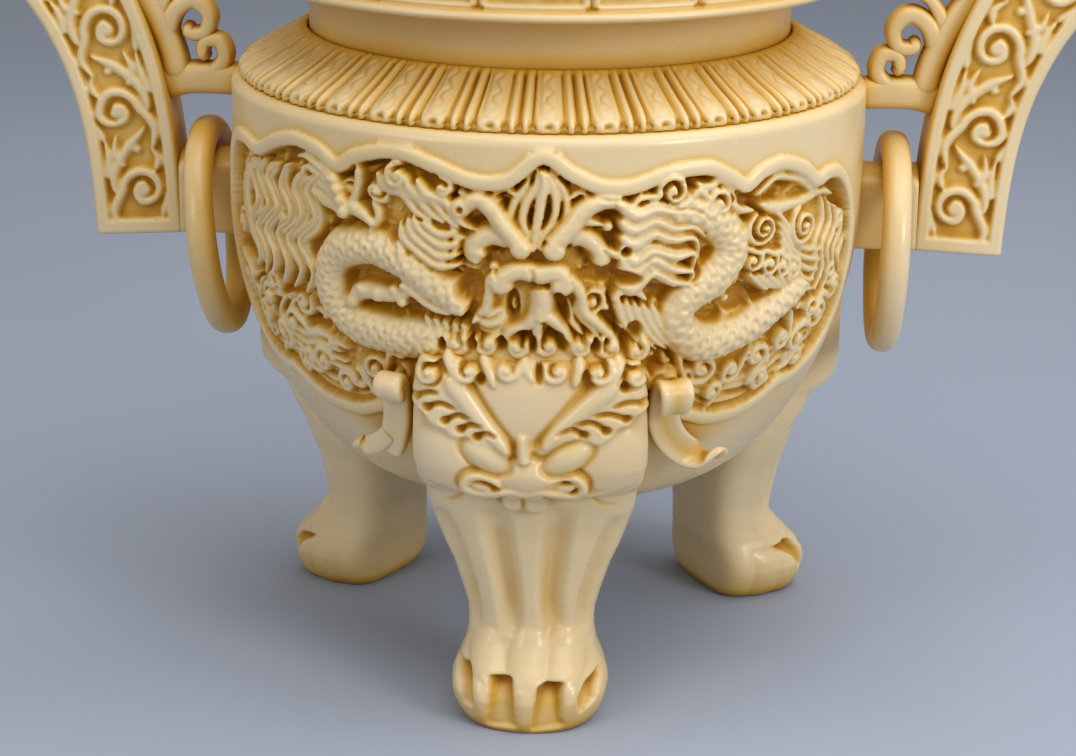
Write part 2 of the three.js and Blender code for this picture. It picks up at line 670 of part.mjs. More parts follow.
function finialPeg() {
  const top = crownZ + GLUE + FINIAL_PEG_DEPTH;
  return uprightRod(FINIAL_PEG_RADIUS, 0, crownZ - LID_WALL, top);
}

// One level of the leg: a rounded outline that reaches from its back to its front.
const LEG_POINTS = 20;
function legLoop(height, halfWidth, front, back, squareness) {
  const middle = (front + back) / 2;
  const halfDepth = (front - back) / 2;
  const loop = [];
  for (let i = 0; i < LEG_POINTS; i++) {
    const angle = (i * 2 * Math.PI) / LEG_POINTS;
    const across = Math.sign(Math.cos(angle)) * Math.abs(Math.cos(angle)) ** squareness;
    const outward = Math.sign(Math.sin(angle)) * Math.abs(Math.sin(angle)) ** squareness;
    loop.push([halfWidth * across, halfDepth * outward - middle, height]);
  }
  return loop;
}

function legBlank() {
  const ankleFront = footRadius - ANKLE_INSET + ANKLE_HALF_DEPTH;
  const ankleBack = footRadius - ANKLE_INSET - ANKLE_HALF_DEPTH;
  const pawFront = footRadius + PAW_REACH;
  const ankleZ = PAW_HEIGHT + ANKLE_RISE;
  const maskFront = radiusAt((MASK_CHIN_Z + MASK_TOP_Z) / 2) + MASK_PROUD;
  const kneeFront = maskFront - 4.5;
  const rise = MASK_CHIN_Z - ankleZ;
  const mask = MASK_TOP_Z - MASK_CHIN_Z;
  const inside = BASE_RADIUS;
  return lofted([
    legLoop(0, SOLE_HALF_WIDTH, pawFront - 1.2, ankleBack + 3, 0.9),
    legLoop(0.15 * PAW_HEIGHT, PAW_HALF_WIDTH - 1.3, pawFront - 0.4, ankleBack + 1.6, 0.9),
    legLoop(0.47 * PAW_HEIGHT, PAW_HALF_WIDTH, pawFront, ankleBack + 1, 0.85),
    legLoop(0.72 * PAW_HEIGHT, PAW_HALF_WIDTH - 0.5, pawFront - 1.2, ankleBack + 0.8, 0.9),
    legLoop(PAW_HEIGHT, ANKLE_HALF_WIDTH + 0.7, ankleFront + 2, ankleBack + 0.3, 1),
    legLoop(ankleZ, ANKLE_HALF_WIDTH, ankleFront, ankleBack, 1),
    legLoop(ankleZ + 0.4 * rise, ANKLE_HALF_WIDTH + 2.8, ankleFront + 1.6, ankleBack - 1.2, 0.95),
    legLoop(ankleZ + 0.75 * rise, KNEE_HALF_WIDTH - 1, kneeFront - 2.5, inside + 1, 0.9),
    legLoop(MASK_CHIN_Z - 0.4, KNEE_HALF_WIDTH + 0.3, kneeFront, inside, 0.88),
    legLoop(MASK_CHIN_Z + 0.6, MASK_HALF_WIDTH - 1, maskFront - 2, inside, 0.82),
    legLoop(MASK_CHIN_Z + 0.15 * mask, MASK_HALF_WIDTH - 0.4, maskFront - 0.4, inside, 0.8),
    legLoop(MASK_CHIN_Z + 0.35 * mask, MASK_HALF_WIDTH, maskFront, inside, 0.8),
    legLoop(MASK_CHIN_Z + 0.6 * mask, MASK_HALF_WIDTH, maskFront, inside, 0.8),
    legLoop(MASK_CHIN_Z + 0.82 * mask, MASK_HALF_WIDTH - 0.8, maskFront - 0.4, inside, 0.8),
    legLoop(MASK_TOP_Z, MASK_HALF_WIDTH - 2.4, maskFront - 1.4, inside, 0.85),
  ]);
}

// Slots between the claws, cut into the front of the paw.
function clawSlots() {
  const slots = [];
  const reach = footRadius + PAW_REACH;
  for (let i = 0; i < CLAWS; i++) {
    const share = (i + 0.5) / CLAWS - 0.5;
    const turn = share * degrees(150);
    const slot = new THREE.BoxGeometry(CLAW_SLOT_WIDTH, 2 * CLAW_SLOT_DEPTH, CLAW_SLOT_HEIGHT);
    slot.translate(0, -PAW_HALF_WIDTH + 0.6 * Math.cos(turn), CLAW_SLOT_HEIGHT / 2 - 0.5);
    slot.rotateZ(turn).translate(0, PAW_HALF_WIDTH - reach, 0);
    slots.push(solidOf(slot));
  }
  return wasm.Manifold.compose(slots);
}

function brow(side) {
  const curve = new THREE.QuadraticBezierCurve3(
    new THREE.Vector3(side * 2.9, 0, MASK_CHIN_Z + 9.2),
    new THREE.Vector3(side * 8.5, 0.6, MASK_CHIN_Z + 13.5),
    new THREE.Vector3(side * 14.5, 2.8, MASK_CHIN_Z + 21),
  );
  const section = new THREE.Shape();
  section.absellipse(0, 0, 2.2, 2.2, 0, 2 * Math.PI);
  const geometry = new THREE.ExtrudeGeometry(section, { steps: 6, extrudePath: curve, curveSegments: 3 });
  return geometry.translate(0, -radiusAt((MASK_CHIN_Z + MASK_TOP_Z) / 2) - MASK_PROUD + 0.6, 0);
}

function leg(turn) {
  const maskFront = radiusAt((MASK_CHIN_Z + MASK_TOP_Z) / 2) + MASK_PROUD;
  const nose = new THREE.SphereGeometry(1, 12, 8).scale(5.4, 3.2, 2.4);
  nose.translate(0, 0.6 - maskFront, MASK_CHIN_Z + 3.5);
  const solid = legBlank()
    .add(solidOf(brow(1)))
    .add(solidOf(brow(-1)))
    .add(solidOf(nose))
    .subtract(clawSlots())
    .subtract(bowlVolume(GLUE));
  const hole = uprightRod(LEG_PEG_RADIUS + GLUE, legPegDistance, legPegBottom - GLUE, legPegTop + BOWL_WALL);
  return cutByFrames(solid.subtract(hole), turn);
}

function legPeg() {
  return uprightRod(LEG_PEG_RADIUS, legPegDistance, legPegBottom, legPegTop);
}

// What the two panel frames take up, seen from a leg that is turned about the axis.
function cutByFrames(solid, turn) {
  return solid.subtract(frame(-Math.PI / 2 - turn, GLUE)).subtract(frame(Math.PI / 2 - turn, GLUE));
}

// A curled strap that is glued to the bowl at its top, and that sweeps outwards and stands clear of the
// bowl at its lower end.
function scrollTab(side, sweep) {
  const steps = 8;
  const outside = [];
  const inside = [];
  for (let i = 0; i <= steps; i++) {
    const share = i / steps;
    const height = TAB_TOP_Z - share * TAB_HEIGHT;
    const off = GLUE + TAB_STAND_OFF * share ** 1.6;
    const surface = radiusAt(Math.max(height, BASE_Z + 1));
    inside.push(new THREE.Vector2(-(surface + off), height));
    outside.push(new THREE.Vector2(-(surface + off + TAB_THICKNESS * (1 - 0.3 * share)), height));
  }
  const tip = outside[steps].clone().add(new THREE.Vector2(-2.6, -0.4));
  const crown = outside[0].clone().add(new THREE.Vector2(1.2, 1.1));
  const outline = [...inside, new THREE.Vector2(tip.x + 0.4, tip.y - 1.6), tip, ...outside.reverse(), crown];
  const form = { depth: TAB_WIDTH, bevelEnabled: false };
  const geometry = new THREE.ExtrudeGeometry(new THREE.Shape(outline), form);
  geometry.translate(0, 0, -TAB_WIDTH / 2).rotateX(Math.PI / 2).rotateZ(Math.PI / 2);
  const place = geometry.getAttribute("position");
  for (let i = 0; i < place.count; i++) {
    const share = Math.max((TAB_TOP_Z - place.getZ(i)) / TAB_HEIGHT, 0);
    place.setX(i, place.getX(i) + side * sweep * share ** 1.5);
  }
  const strap = solidOf(geometry).rotate([0, 0, side * TAB_ANGLE]).subtract(bowlVolume(GLUE));
  return cutByFrames(strap, 0);
}

// The handle's middle line, drawn for the right-hand one.
const handleBottomX = BELLY_RADIUS + HANDLE_GAP + HANDLE_BOTTOM_WIDTH / 2;
const handlePath = new THREE.CurvePath();
const bendPoint = new THREE.Vector2(handleBottomX + 0.35 * HANDLE_FLARE, HANDLE_BOTTOM_Z + 0.5 * HANDLE_RISE);
const handleTop = new THREE.Vector2(handleBottomX + HANDLE_FLARE, HANDLE_BOTTOM_Z + HANDLE_RISE);
handlePath.add(new THREE.CubicBezierCurve(
  new THREE.Vector2(handleBottomX, HANDLE_BOTTOM_Z),
  new THREE.Vector2(handleBottomX + 0.03 * HANDLE_FLARE, HANDLE_BOTTOM_Z + 0.2 * HANDLE_RISE),
  new THREE.Vector2(handleBottomX + 0.07 * HANDLE_FLARE, HANDLE_BOTTOM_Z + 0.34 * HANDLE_RISE),
  bendPoint,
));
handlePath.add(new THREE.CubicBezierCurve(
  bendPoint,
  new THREE.Vector2(bendPoint.x + 0.26 * HANDLE_FLARE, bendPoint.y + 0.14 * HANDLE_RISE),
  new THREE.Vector2(handleTop.x - 0.03 * HANDLE_FLARE, handleTop.y - 0.25 * HANDLE_RISE),
  handleTop,
));

const HANDLE_STEPS = 16;
function handleOutline(inset) {
  const inner = [];
  const outer = [];
  for (let i = 0; i <= HANDLE_STEPS; i++) {
    const share = i / HANDLE_STEPS;
    const point = handlePath.getPoint(share);
    const along = handlePath.getTangent(share);
    const width = HANDLE_BOTTOM_WIDTH + share ** 2 * (HANDLE_TOP_WIDTH - HANDLE_BOTTOM_WIDTH);
    const half = width / 2 - inset;
    const end = i === 0 ? inset : i === HANDLE_STEPS ? -inset : 0;
    const middle = point.clone().addScaledVector(along, end);
    inner.push(new THREE.Vector2(middle.x - along.y * half, middle.y + along.x * half));
    outer.push(new THREE.Vector2(middle.x + along.y * half, middle.y - along.x * half));
  }
  return [...outer, ...inner.reverse()];
}

// A tapering stroke of the openwork bracket, in X and Z: short bars that overlap at their ends, so that
// a curl may be tighter than the stroke is wide.
function stroke(points, startWidth, endWidth) {
  const curve = new THREE.SplineCurve(points.map(([x, z]) => new THREE.Vector2(x, z)));
  const steps = 2 * (points.length - 1);
  const bars = [];
  for (let i = 0; i < steps; i++) {
    const start = curve.getPoint(i / steps);
    const end = curve.getPoint((i + 1) / steps);
    const along = end.clone().sub(start).normalize();
    const across = new THREE.Vector2(-along.y, along.x);
    const half = (share) => (startWidth + share * (endWidth - startWidth)) / 2;
    const [near, far] = [half(i / steps), half((i + 1) / steps)];
    const lap = 0.3 * far;
    bars.push(slab([
      start.clone().addScaledVector(across, -near).addScaledVector(along, -lap),
      end.clone().addScaledVector(across, -far).addScaledVector(along, lap),
      end.clone().addScaledVector(across, far).addScaledVector(along, lap),
      start.clone().addScaledVector(across, near).addScaledVector(along, -lap),
    ], BRACKET_THICKNESS));
  }
  return wasm.Manifold.union(bars);
}

// The bracket's strokes are laid out in grid units from the belly and from the strut's height.
function bracket() {
  const unit = BRACKET_RISE / BRACKET_GRID;
  const place = ([x, z]) => [BELLY_RADIUS + x * unit, strutZ + z * unit];
  const strokes = [
    [[[10.5, -1], [12, 6], [15.5, 14], [21, 22], [28, 32], [33, 44]], 4.4, 2.6],
    [[[6.5, 1], [3.6, 2.4], [2.2, 5], [4.4, 7], [6.2, 5.2]], 3.4, 2.2],
    [[[12.5, 7], [11, 13], [7.2, 15], [5.2, 11.8], [7, 8.8], [8.8, 10]], 3.8, 2.4],
    [[[14, 12], [10.5, 17.5], [6.5, 20]], 3.2, 1.4],
    [[[18, 17], [15.5, 24], [11, 25.5], [9.6, 22], [12, 20.4]], 3.6, 2.2],
    [[[24, 26], [21, 34], [16.4, 35], [15.6, 31], [18, 29.8]], 3.4, 2],
    [[[30, 37], [27.5, 45], [22.5, 46], [22, 42], [24.4, 41]], 3.2, 2],
  ];
  const reach = handlePath.getPoints(HANDLE_STEPS).find((point) => point.y >= strutZ).x;
  const strut = [[BELLY_RADIUS - 1, strutZ], [(BELLY_RADIUS + reach) / 2, strutZ], [reach, strutZ - unit]];
  const bars = [stroke(strut, BRACKET_STRUT_WIDTH, BRACKET_STRUT_WIDTH)];
  for (const [points, startWidth, endWidth] of strokes) {
    bars.push(stroke(points.map(place), startWidth * unit, endWidth * unit));
  }
  return wasm.Manifold.union(bars);
}

function lug() {
  const half = HANDLE_THICKNESS / 2;
  const from = radiusAt(HANDLE_BOTTOM_Z) - 6;
  const to = BELLY_RADIUS + HANDLE_GAP + 2;
  const section = new THREE.Shape();
  section.moveTo(-half, 0);
  section.lineTo(half, 0);
  section.lineTo(half, LUG_HEIGHT - LUG_CROWN);
  section.quadraticCurveTo(half * 0.55, LUG_HEIGHT, 0, LUG_HEIGHT);
  section.quadraticCurveTo(-half * 0.55, LUG_HEIGHT, -half, LUG_HEIGHT - LUG_CROWN);
  const form = { depth: to - from, bevelEnabled: false, curveSegments: 5 };
  const geometry = new THREE.ExtrudeGeometry(section, form);
  geometry.rotateX(Math.PI / 2).rotateZ(Math.PI / 2);
  return solidOf(geometry.translate(from, 0, HANDLE_BOTTOM_Z));
}

function rightHandle() {
  const recess = slab(handleOutline(HANDLE_BORDER), 2 * HANDLE_RECESS);
  const face = HANDLE_THICKNESS / 2;
  const shoulderClearance = turned([
    [0, BAND_TOP_Z],
    [BELLY_RADIUS + SHOULDER_PROUD + GLUE, BAND_TOP_Z],
    [BELLY_RADIUS + SHOULDER_PROUD + GLUE, shoulderBottom + 2.2],
    [NECK_RADIUS, shoulderTop + GLUE + 1],
    [0, shoulderTop + GLUE + 1],
  ]);
  return slab(handleOutline(0), HANDLE_THICKNESS)
    .subtract(recess.translate([0, -face, 0]))
    .subtract(recess.translate([0, face, 0]))
    .add(lug())
    .add(bracket())
    .subtract(bowlVolume(GLUE))
    .subtract(shoulderClearance)
    .subtract(handlePin(PINS.lower, GLUE))
    .subtract(handlePin(PINS.upper, GLUE));
}

function ring() {
  const geometry = new THREE.TorusGeometry(RING_RADIUS, RING_TUBE_RADIUS, 8, 32);
  return solidOf(geometry.rotateY(Math.PI / 2));
}

const vessel = new THREE.Group();
vessel.add(node("bowl", bowl(), resin));
vessel.add(node("shoulder_ring", shoulderRing(), resin));
vessel.add(node("neck_ring", neckRing(), paleResin));

const cover = new THREE.Group();
cover.add(node("lid", lid(), resin));
cover.add(node("finial", finial(), resin));
cover.add(node("finial_peg", finialPeg(), steel));
vessel.add(cover);

for (const [place, turn] of Object.entries(LEG_ANGLES)) {
  const group = new THREE.Group();
  group.rotation.z = degrees(turn);
  group.add(node(`leg_${place}`, leg(degrees(turn)), resin));
  group.add(node(`leg_peg_${place}`, legPeg(), steel));
  vessel.add(group);
}
vessel.add(node("scroll_tab_front_a", scrollTab(-1, TAB_SWEEP.left), resin));
vessel.add(node("scroll_tab_front_b", scrollTab(1, TAB_SWEEP.right), resin));

const handleSolid = rightHandle();
const ringSolid = ring();
const pivotZ = lugCrestZ + RUNNING + RING_TUBE_RADIUS;
for (const [side, turn] of [["right", 0], ["left", 180]]) {
  const group = new THREE.Group();
  group.rotation.z = degrees(turn);
  group.add(node(`handle_${side}`, handleSolid, resin));
  for (const [level, pin] of Object.entries(PINS)) {
    group.add(node(`handle_pin_${level}_${side}`, handlePin(pin), steel));
  }
  const swing = new THREE.Group();
  swing.position.set(BELLY_RADIUS + RING_OFFSET, 0, pivotZ);
  swing.rotation.y = degrees(RING_LEAN[side]);
  const loose = node(`ring_${side}`, ringSolid, paleResin);
  loose.position.z = -RING_RADIUS;
  swing.add(loose);
  group.add(swing);
  vessel.add(group);
}

export default vessel;
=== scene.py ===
import math
import bmesh
import bpy
import numpy as np
from mathutils import Matrix, Vector


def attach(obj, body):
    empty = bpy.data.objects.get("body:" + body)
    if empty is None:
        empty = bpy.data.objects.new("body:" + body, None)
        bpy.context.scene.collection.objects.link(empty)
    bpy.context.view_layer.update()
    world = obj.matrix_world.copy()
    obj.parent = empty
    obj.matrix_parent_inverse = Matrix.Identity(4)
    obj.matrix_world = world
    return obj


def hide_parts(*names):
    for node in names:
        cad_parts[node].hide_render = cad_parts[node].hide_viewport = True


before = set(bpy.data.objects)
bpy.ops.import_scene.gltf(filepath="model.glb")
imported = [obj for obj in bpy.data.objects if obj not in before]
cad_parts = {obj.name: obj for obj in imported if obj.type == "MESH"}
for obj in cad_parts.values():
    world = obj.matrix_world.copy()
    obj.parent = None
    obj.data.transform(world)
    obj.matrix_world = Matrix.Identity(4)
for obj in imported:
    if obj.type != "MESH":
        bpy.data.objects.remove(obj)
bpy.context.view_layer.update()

# Lengths are in millimetres until a mesh is made
MM = 0.001

# Bowl
BELLY_RADIUS = 60
BASE_Z = 36
BASE_RADIUS = 32
BAND_BOTTOM_Z = 90
BAND_TOP_Z = 112
BELLY_FULLNESS = 22
BELLY_SWELL = 0.58  # how far out the side has run by the time it turns upward
BOWL_WALL = 7
GROUND = -3.4  # the carved panel's deepest level below the belly
PANEL_PROUD = 2.2  # the highest the carving stands above the belly
FRAME_PROUD = 1.0
FRAME_WIDTH = 2.8

# Legs, turned about the axis from the front one
LEG_TURNS = {"front": 0, "back_right": 120, "back_left": -120}
LEG_TOP_Z = 74.4
LEG_FRONT_LIMIT = -62.6  # nothing on a leg stands further out

# Handles
HANDLE_FACE = 6.5
HANDLE_BOTTOM_WIDTH = 16.6
HANDLE_TOP_WIDTH = 23
HANDLE_BORDER = 2.3
HANDLE_RECESS = 1.7
STRUT_Z = 108.5
LUG_BOTTOM_Z = 79.5
LUG_TOP_Z = 95

# Loose rings
RING_CENTRE_X = 66
RING_PIVOT_Z = 98.1
RING_RADIUS = 18.6
RING_TUBE = 2.75
RING_LEAN = {"right": 1.5, "left": 6.5}
# Wax on each ring, with painted shade added on the left one, which is away from the key lamp
RING_WAX_AND_SHADE = {"right": 0.12, "left": 0.3}
RING_SQUARENESS = 0.86  # of the tube's section, where 1 is round
RING_SPACE_X = 58.3  # the rings swing in to here, so the back legs' masks stop short of it

CELL = 0.2  # of the relief canvases
TINY = 1e-9


def length_along(line):
    """The distance of each of a line's points from its first one."""
    return np.concatenate([[0], np.cumsum(np.linalg.norm(np.diff(line, axis=0), axis=1))])


def directions(line):
    """Unit tangents at a line's points."""
    tangent = np.gradient(line, axis=0)
    return tangent / np.linalg.norm(tangent, axis=1)[:, None]


def signed_power(values, power):
    """Squares off a sine or cosine, for sections between round and square."""
    return np.sign(values) * np.abs(values) ** power


def full_turn(count):
    """Evenly spaced angles round a circle, without the last one that would close it."""
    return np.arange(count) / count * 2 * math.pi


def spline(points, spacing=0.4, closed=False):
    """Evenly spaced points along a Catmull-Rom curve through the given ones."""
    p = np.array(points, float)
    if closed:
        p = np.vstack([p[-1], p, p[0], p[1]])
    else:
        p = np.vstack([2 * p[0] - p[1], p, 2 * p[-1] - p[-2]])
    t = np.linspace(0, 1, 16, endpoint=False)[:, None]
    runs = []
    for a, b, c, d in zip(p[:-3], p[1:-2], p[2:-1], p[3:]):
        runs.append(0.5 * (2 * b + (c - a) * t + (2 * a - 5 * b + 4 * c - d) * t**2
                           + (3 * b - a - 3 * c + d) * t**3))
    line = np.vstack(runs + [p[-2][None]])
    along = length_along(line)
    count = max(int(along[-1] / spacing), 4)
    at = np.linspace(0, along[-1], count + 1)
    return np.column_stack([np.interp(at, along, line[:, k]) for k in range(p.shape[1])])


def pair(value):
    """A value as (start, end)."""
    return value if isinstance(value, tuple) else (value, value)


def end_taper(place, ends):
    """Runs from 0 to 1 and back over the given shares at both ends of a line."""
    first, last = (max(share, 1e-6) for share in ends)
    return np.clip(place / first, 0, 1) * np.clip((1 - place) / last, 0, 1)


class Relief:
    """Heights over a strip of surface: u runs along it and v up it."""

    def __init__(self, u0, u1, v0, v1, ground=0.0):
        self.u0, self.v0 = u0, v0
        self.u = np.arange(u0, u1 + CELL, CELL)
        self.v = np.arange(v0, v1 + CELL, CELL)
        self.h = np.full((len(self.v), len(self.u)), ground, float)

    def window(self, low, high):
        """The slices of the cells between two corners."""
        i0 = max(int((low[0] - self.u0) / CELL), 0)
        i1 = min(int((high[0] - self.u0) / CELL) + 2, len(self.u))
        j0 = max(int((low[1] - self.v0) / CELL), 0)
        j1 = min(int((high[1] - self.v0) / CELL) + 2, len(self.v))
        if i0 >= i1 or j0 >= j1:
            return None
        return slice(j0, j1), slice(i0, i1)

    def near(self, line, reach):
        """The window round a line, with each cell's distance, signed side and place along the line."""
        area = self.window(line.min(0) - reach, line.max(0) + reach)
        if area is None:
            return None
        gu, gv = np.meshgrid(self.u[area[1]], self.v[area[0]])
        flat = np.column_stack([gu.ravel(), gv.ravel()])
        best = np.full(len(flat), 1e9)
        index = np.zeros(len(flat), int)
        for start in range(0, len(line), 48):
            part = line[start:start + 48]
            close = np.nonzero(((flat > part.min(0) - reach) & (flat < part.max(0) + reach)).all(1))[0]
            if not len(close):
                continue
            gap = ((flat[close][:, None, :] - part[None]) ** 2).sum(2)
            nearest = gap.argmin(1)
            distance = gap[np.arange(len(close)), nearest]
            closer = distance < best[close]
            best[close[closer]] = distance[closer]
            index[close[closer]] = nearest[closer] + start
        tangent = np.gradient(line, axis=0)
        tangent /= np.linalg.norm(tangent, axis=1)[:, None] + TINY
        away = flat - line[index]
        side = tangent[index, 0] * away[:, 1] - tangent[index, 1] * away[:, 0]
        slip = (away * tangent[index]).sum(1)
        step = max(np.linalg.norm(line[1] - line[0]), TINY)
        last = len(line) - 1
        slide = np.clip(slip, -step, step)
        slide = np.where((index == 0) & (slip < 0) | (index == last) & (slip > 0), 0, slide)
        gap = np.sqrt(np.maximum(best - slide**2, 0))
        place = np.clip((index + slide / step) / last, 0, 1)
        shape = gu.shape
        return area, gap.reshape(shape), side.reshape(shape), place.reshape(shape), last * step

    def ridge(self, points, width, top, base=None, ends=(0.25, 0.25), power=0.5, straight=False):
        """A rounded bar along a curve. Width and top are single values or (start, end) pairs."""
        line = np.array(points, float) if straight else spline(points)
        (w0, w1), (t0, t1) = pair(width), pair(top)
        found = self.near(line, max(w0, w1) / 2 + CELL)
        if found is None:
            return
        area, gap, _, place, _ = found
        half = (w0 + (w1 - w0) * place) / 2 * np.sqrt(end_taper(place, ends))
        peak = t0 + (t1 - t0) * place
        floor = (peak - np.minimum(half * 1.3, 4.0)) if base is None else base
        share = np.clip(1 - (gap / np.maximum(half, 1e-6)) ** 2, 0, 1) ** power
        level = floor + (peak - floor) * share
        self.h[area] = np.where(gap < half, np.maximum(self.h[area], level), self.h[area])

    def groove(self, points, width, depth, ends=(0.2, 0.2), power=1.0):
        """A rounded channel cut along a curve into what is there."""
        line = spline(points)
        w0, w1 = pair(width)
        found = self.near(line, max(w0, w1) / 2 + CELL)
        if found is None:
            return
        area, gap, _, place, _ = found
        half = (w0 + (w1 - w0) * place) / 2
        share = np.clip(1 - (gap / half) ** 2, 0, 1) ** power
        self.h[area] -= depth * share * np.sqrt(end_taper(place, ends))

    def dome(self, u, v, ru, rv, top, angle=0.0, base=None, power=0.5):
        """A rounded lump that stands up to a level."""
        base = top - min(ru, rv) if base is None else base
        found = self.oval(u, v, ru, rv, angle)
        if found is not None:
            area, share = found
            level = base + (top - base) * share**power
            self.h[area] = np.where(share > 0, np.maximum(self.h[area], level), self.h[area])

    def pit(self, u, v, ru, rv, depth, angle=0.0, power=0.7):
        """A hollow that goes down to a level, with soft sides."""
        found = self.oval(u, v, ru, rv, angle)
        if found is not None:
            area, share = found
            share = share**power
            self.h[area] = self.h[area] * (1 - share) + np.minimum(self.h[area], depth) * share

    def oval(self, u, v, ru, rv, angle):
        """The cells round an oval, and how far inside it each one is."""
        reach = max(ru, rv)
        area = self.window((u - reach, v - reach), (u + reach, v + reach))
        if area is None:
            return None
        gu, gv = np.meshgrid(self.u[area[1]] - u, self.v[area[0]] - v)
        c, s = math.cos(math.radians(angle)), math.sin(math.radians(angle))
        x, y = (gu * c + gv * s) / ru, (gv * c - gu * s) / rv
        return area, np.clip(1 - x**2 - y**2, 0, 1)

    def curl(self, u, v, radius, turns, start, width, top, hand=1, tail=None, rise=0.6):
        """A scroll that winds inwards from a start angle, with a bead in its eye. Its tail comes first."""
        angles = np.linspace(0, turns * 2 * math.pi, int(14 * turns) + 6)
        shrink = radius * (1 - 0.82 * (angles / angles[-1]) ** 0.9)
        a = math.radians(start) + hand * angles
        path = np.column_stack([u + shrink * np.cos(a), v + shrink * np.sin(a)])
        if tail is not None:
            path = np.vstack([np.array(tail, float), path])
        self.ridge(path, (width, width * 0.6), (top, top + rise), ends=(0.15, 0.02))
        self.dome(u, v, width * 0.45, width * 0.45, top + rise + 0.1)

    def scales(self, points, width, size, depth, taper=(1.0, 1.0)):
        """Overlapping scales cut into a band that already stands there."""
        found = self.near(spline(points), width / 2 + CELL)
        if found is None:
            return
        area, gap, side, place, length = found
        half = width / 2 * (taper[0] + (taper[1] - taper[0]) * place)
        s = place * length / size
        t = side / size
        best = np.zeros_like(s)
        for shift in (0, 0.5):
            row = np.floor(s - shift) + shift
            for back in (0, 1):
                r = row - back
                odd = np.round(r * 2) % 2
                column = np.round(t - 0.5 * odd) + 0.5 * odd
                inside = ((s - r - 0.15) / 0.95) ** 2 + ((t - column) / 0.62) ** 2
                best = np.maximum(best, np.clip(1 - inside, 0, 1) ** 0.45 * (1 - 0.35 * (s - r)))
        edge = np.clip((half - gap) / (0.25 * half), 0, 1)
        self.h[area] += np.where(gap < half * 0.96, (best - 1) * depth * edge, 0)

    def smooth(self, passes=1):
        """Averages each cell with those round it."""
        for _ in range(passes):
            p = np.pad(self.h, 1, mode="edge")
            sides = p[:-2, 1:-1] + p[2:, 1:-1] + p[1:-1, :-2] + p[1:-1, 2:]
            corners = p[:-2, :-2] + p[:-2, 2:] + p[2:, :-2] + p[2:, 2:]
            self.h = (4 * p[1:-1, 1:-1] + 2 * sides + corners) / 16

    def inside(self, outline):
        """True for the cells inside a closed outline."""
        gu, gv = np.meshgrid(self.u, self.v)
        held = np.zeros(gu.shape, bool)
        q = np.array(outline, float)
        for (x0, y0), (x1, y1) in zip(q, np.roll(q, -1, axis=0)):
            if y0 != y1:
                crosses = (y0 > gv) != (y1 > gv)
                held ^= crosses & (gu < (x1 - x0) * (gv - y0) / (y1 - y0) + x0)
        return held

    def warp(self, amount, grain, seed):
        """Shifts all that is painted so far by small smooth steps, so that nothing repeats exactly."""
        seeds = np.random.default_rng(seed)
        gu, gv = np.meshgrid(self.u, self.v)
        steps = []
        for _ in range(2):
            field = blurred(seeds.normal(size=self.h.shape), int(grain / CELL))
            steps.append(field / np.abs(field).max() * amount)
        self.h = sample(self, self.h, gu + steps[0], gv + steps[1])

    def roughen(self, high, low, level, seed):
        """Fine unevenness, stronger below a level than above it."""
        seeds = np.random.default_rng(seed)
        grain = blurred(seeds.normal(size=self.h.shape), 1)
        self.h += grain / grain.std() * (high + (low - high) * np.clip((level - self.h) / 1.5, 0, 1))

    def stain_and_shade(self, reach=1.6, gain=0.55, level=0.0, slope=0.12):
        """How much dark wax each cell holds: more in hollows and at deep levels."""
        wide = blurred(self.h, max(int(reach / CELL), 1))
        return np.clip((wide - self.h) * gain + (level - self.h) * slope, 0, 1)


def blurred(h, reach):
    """A box blur, twice, along both directions."""
    for _ in range(2):
        for axis in (0, 1):
            pad = [(0, 0), (0, 0)]
            pad[axis] = (reach + 1, reach)
            c = np.cumsum(np.pad(h, pad, mode="edge"), axis=axis)
            far = np.take(c, range(2 * reach + 1, c.shape[axis]), axis=axis)
            near = np.take(c, range(0, c.shape[axis] - 2 * reach - 1), axis=axis)
            h = (far - near) / (2 * reach + 1)
    return h


def sample(canvas, values, u, v):
    """Values of a canvas's grid at places between its cells."""
    x = np.clip((u - canvas.u0) / CELL, 0, values.shape[1] - 1.001)
    y = np.clip((v - canvas.v0) / CELL, 0, values.shape[0] - 1.001)
    i, j = x.astype(int), y.astype(int)
    fx, fy = x - i, y - j
    return ((values[j, i] * (1 - fx) + values[j, i + 1] * fx) * (1 - fy)
            + (values[j + 1, i] * (1 - fx) + values[j + 1, i + 1] * fx) * fy)


# Meshes

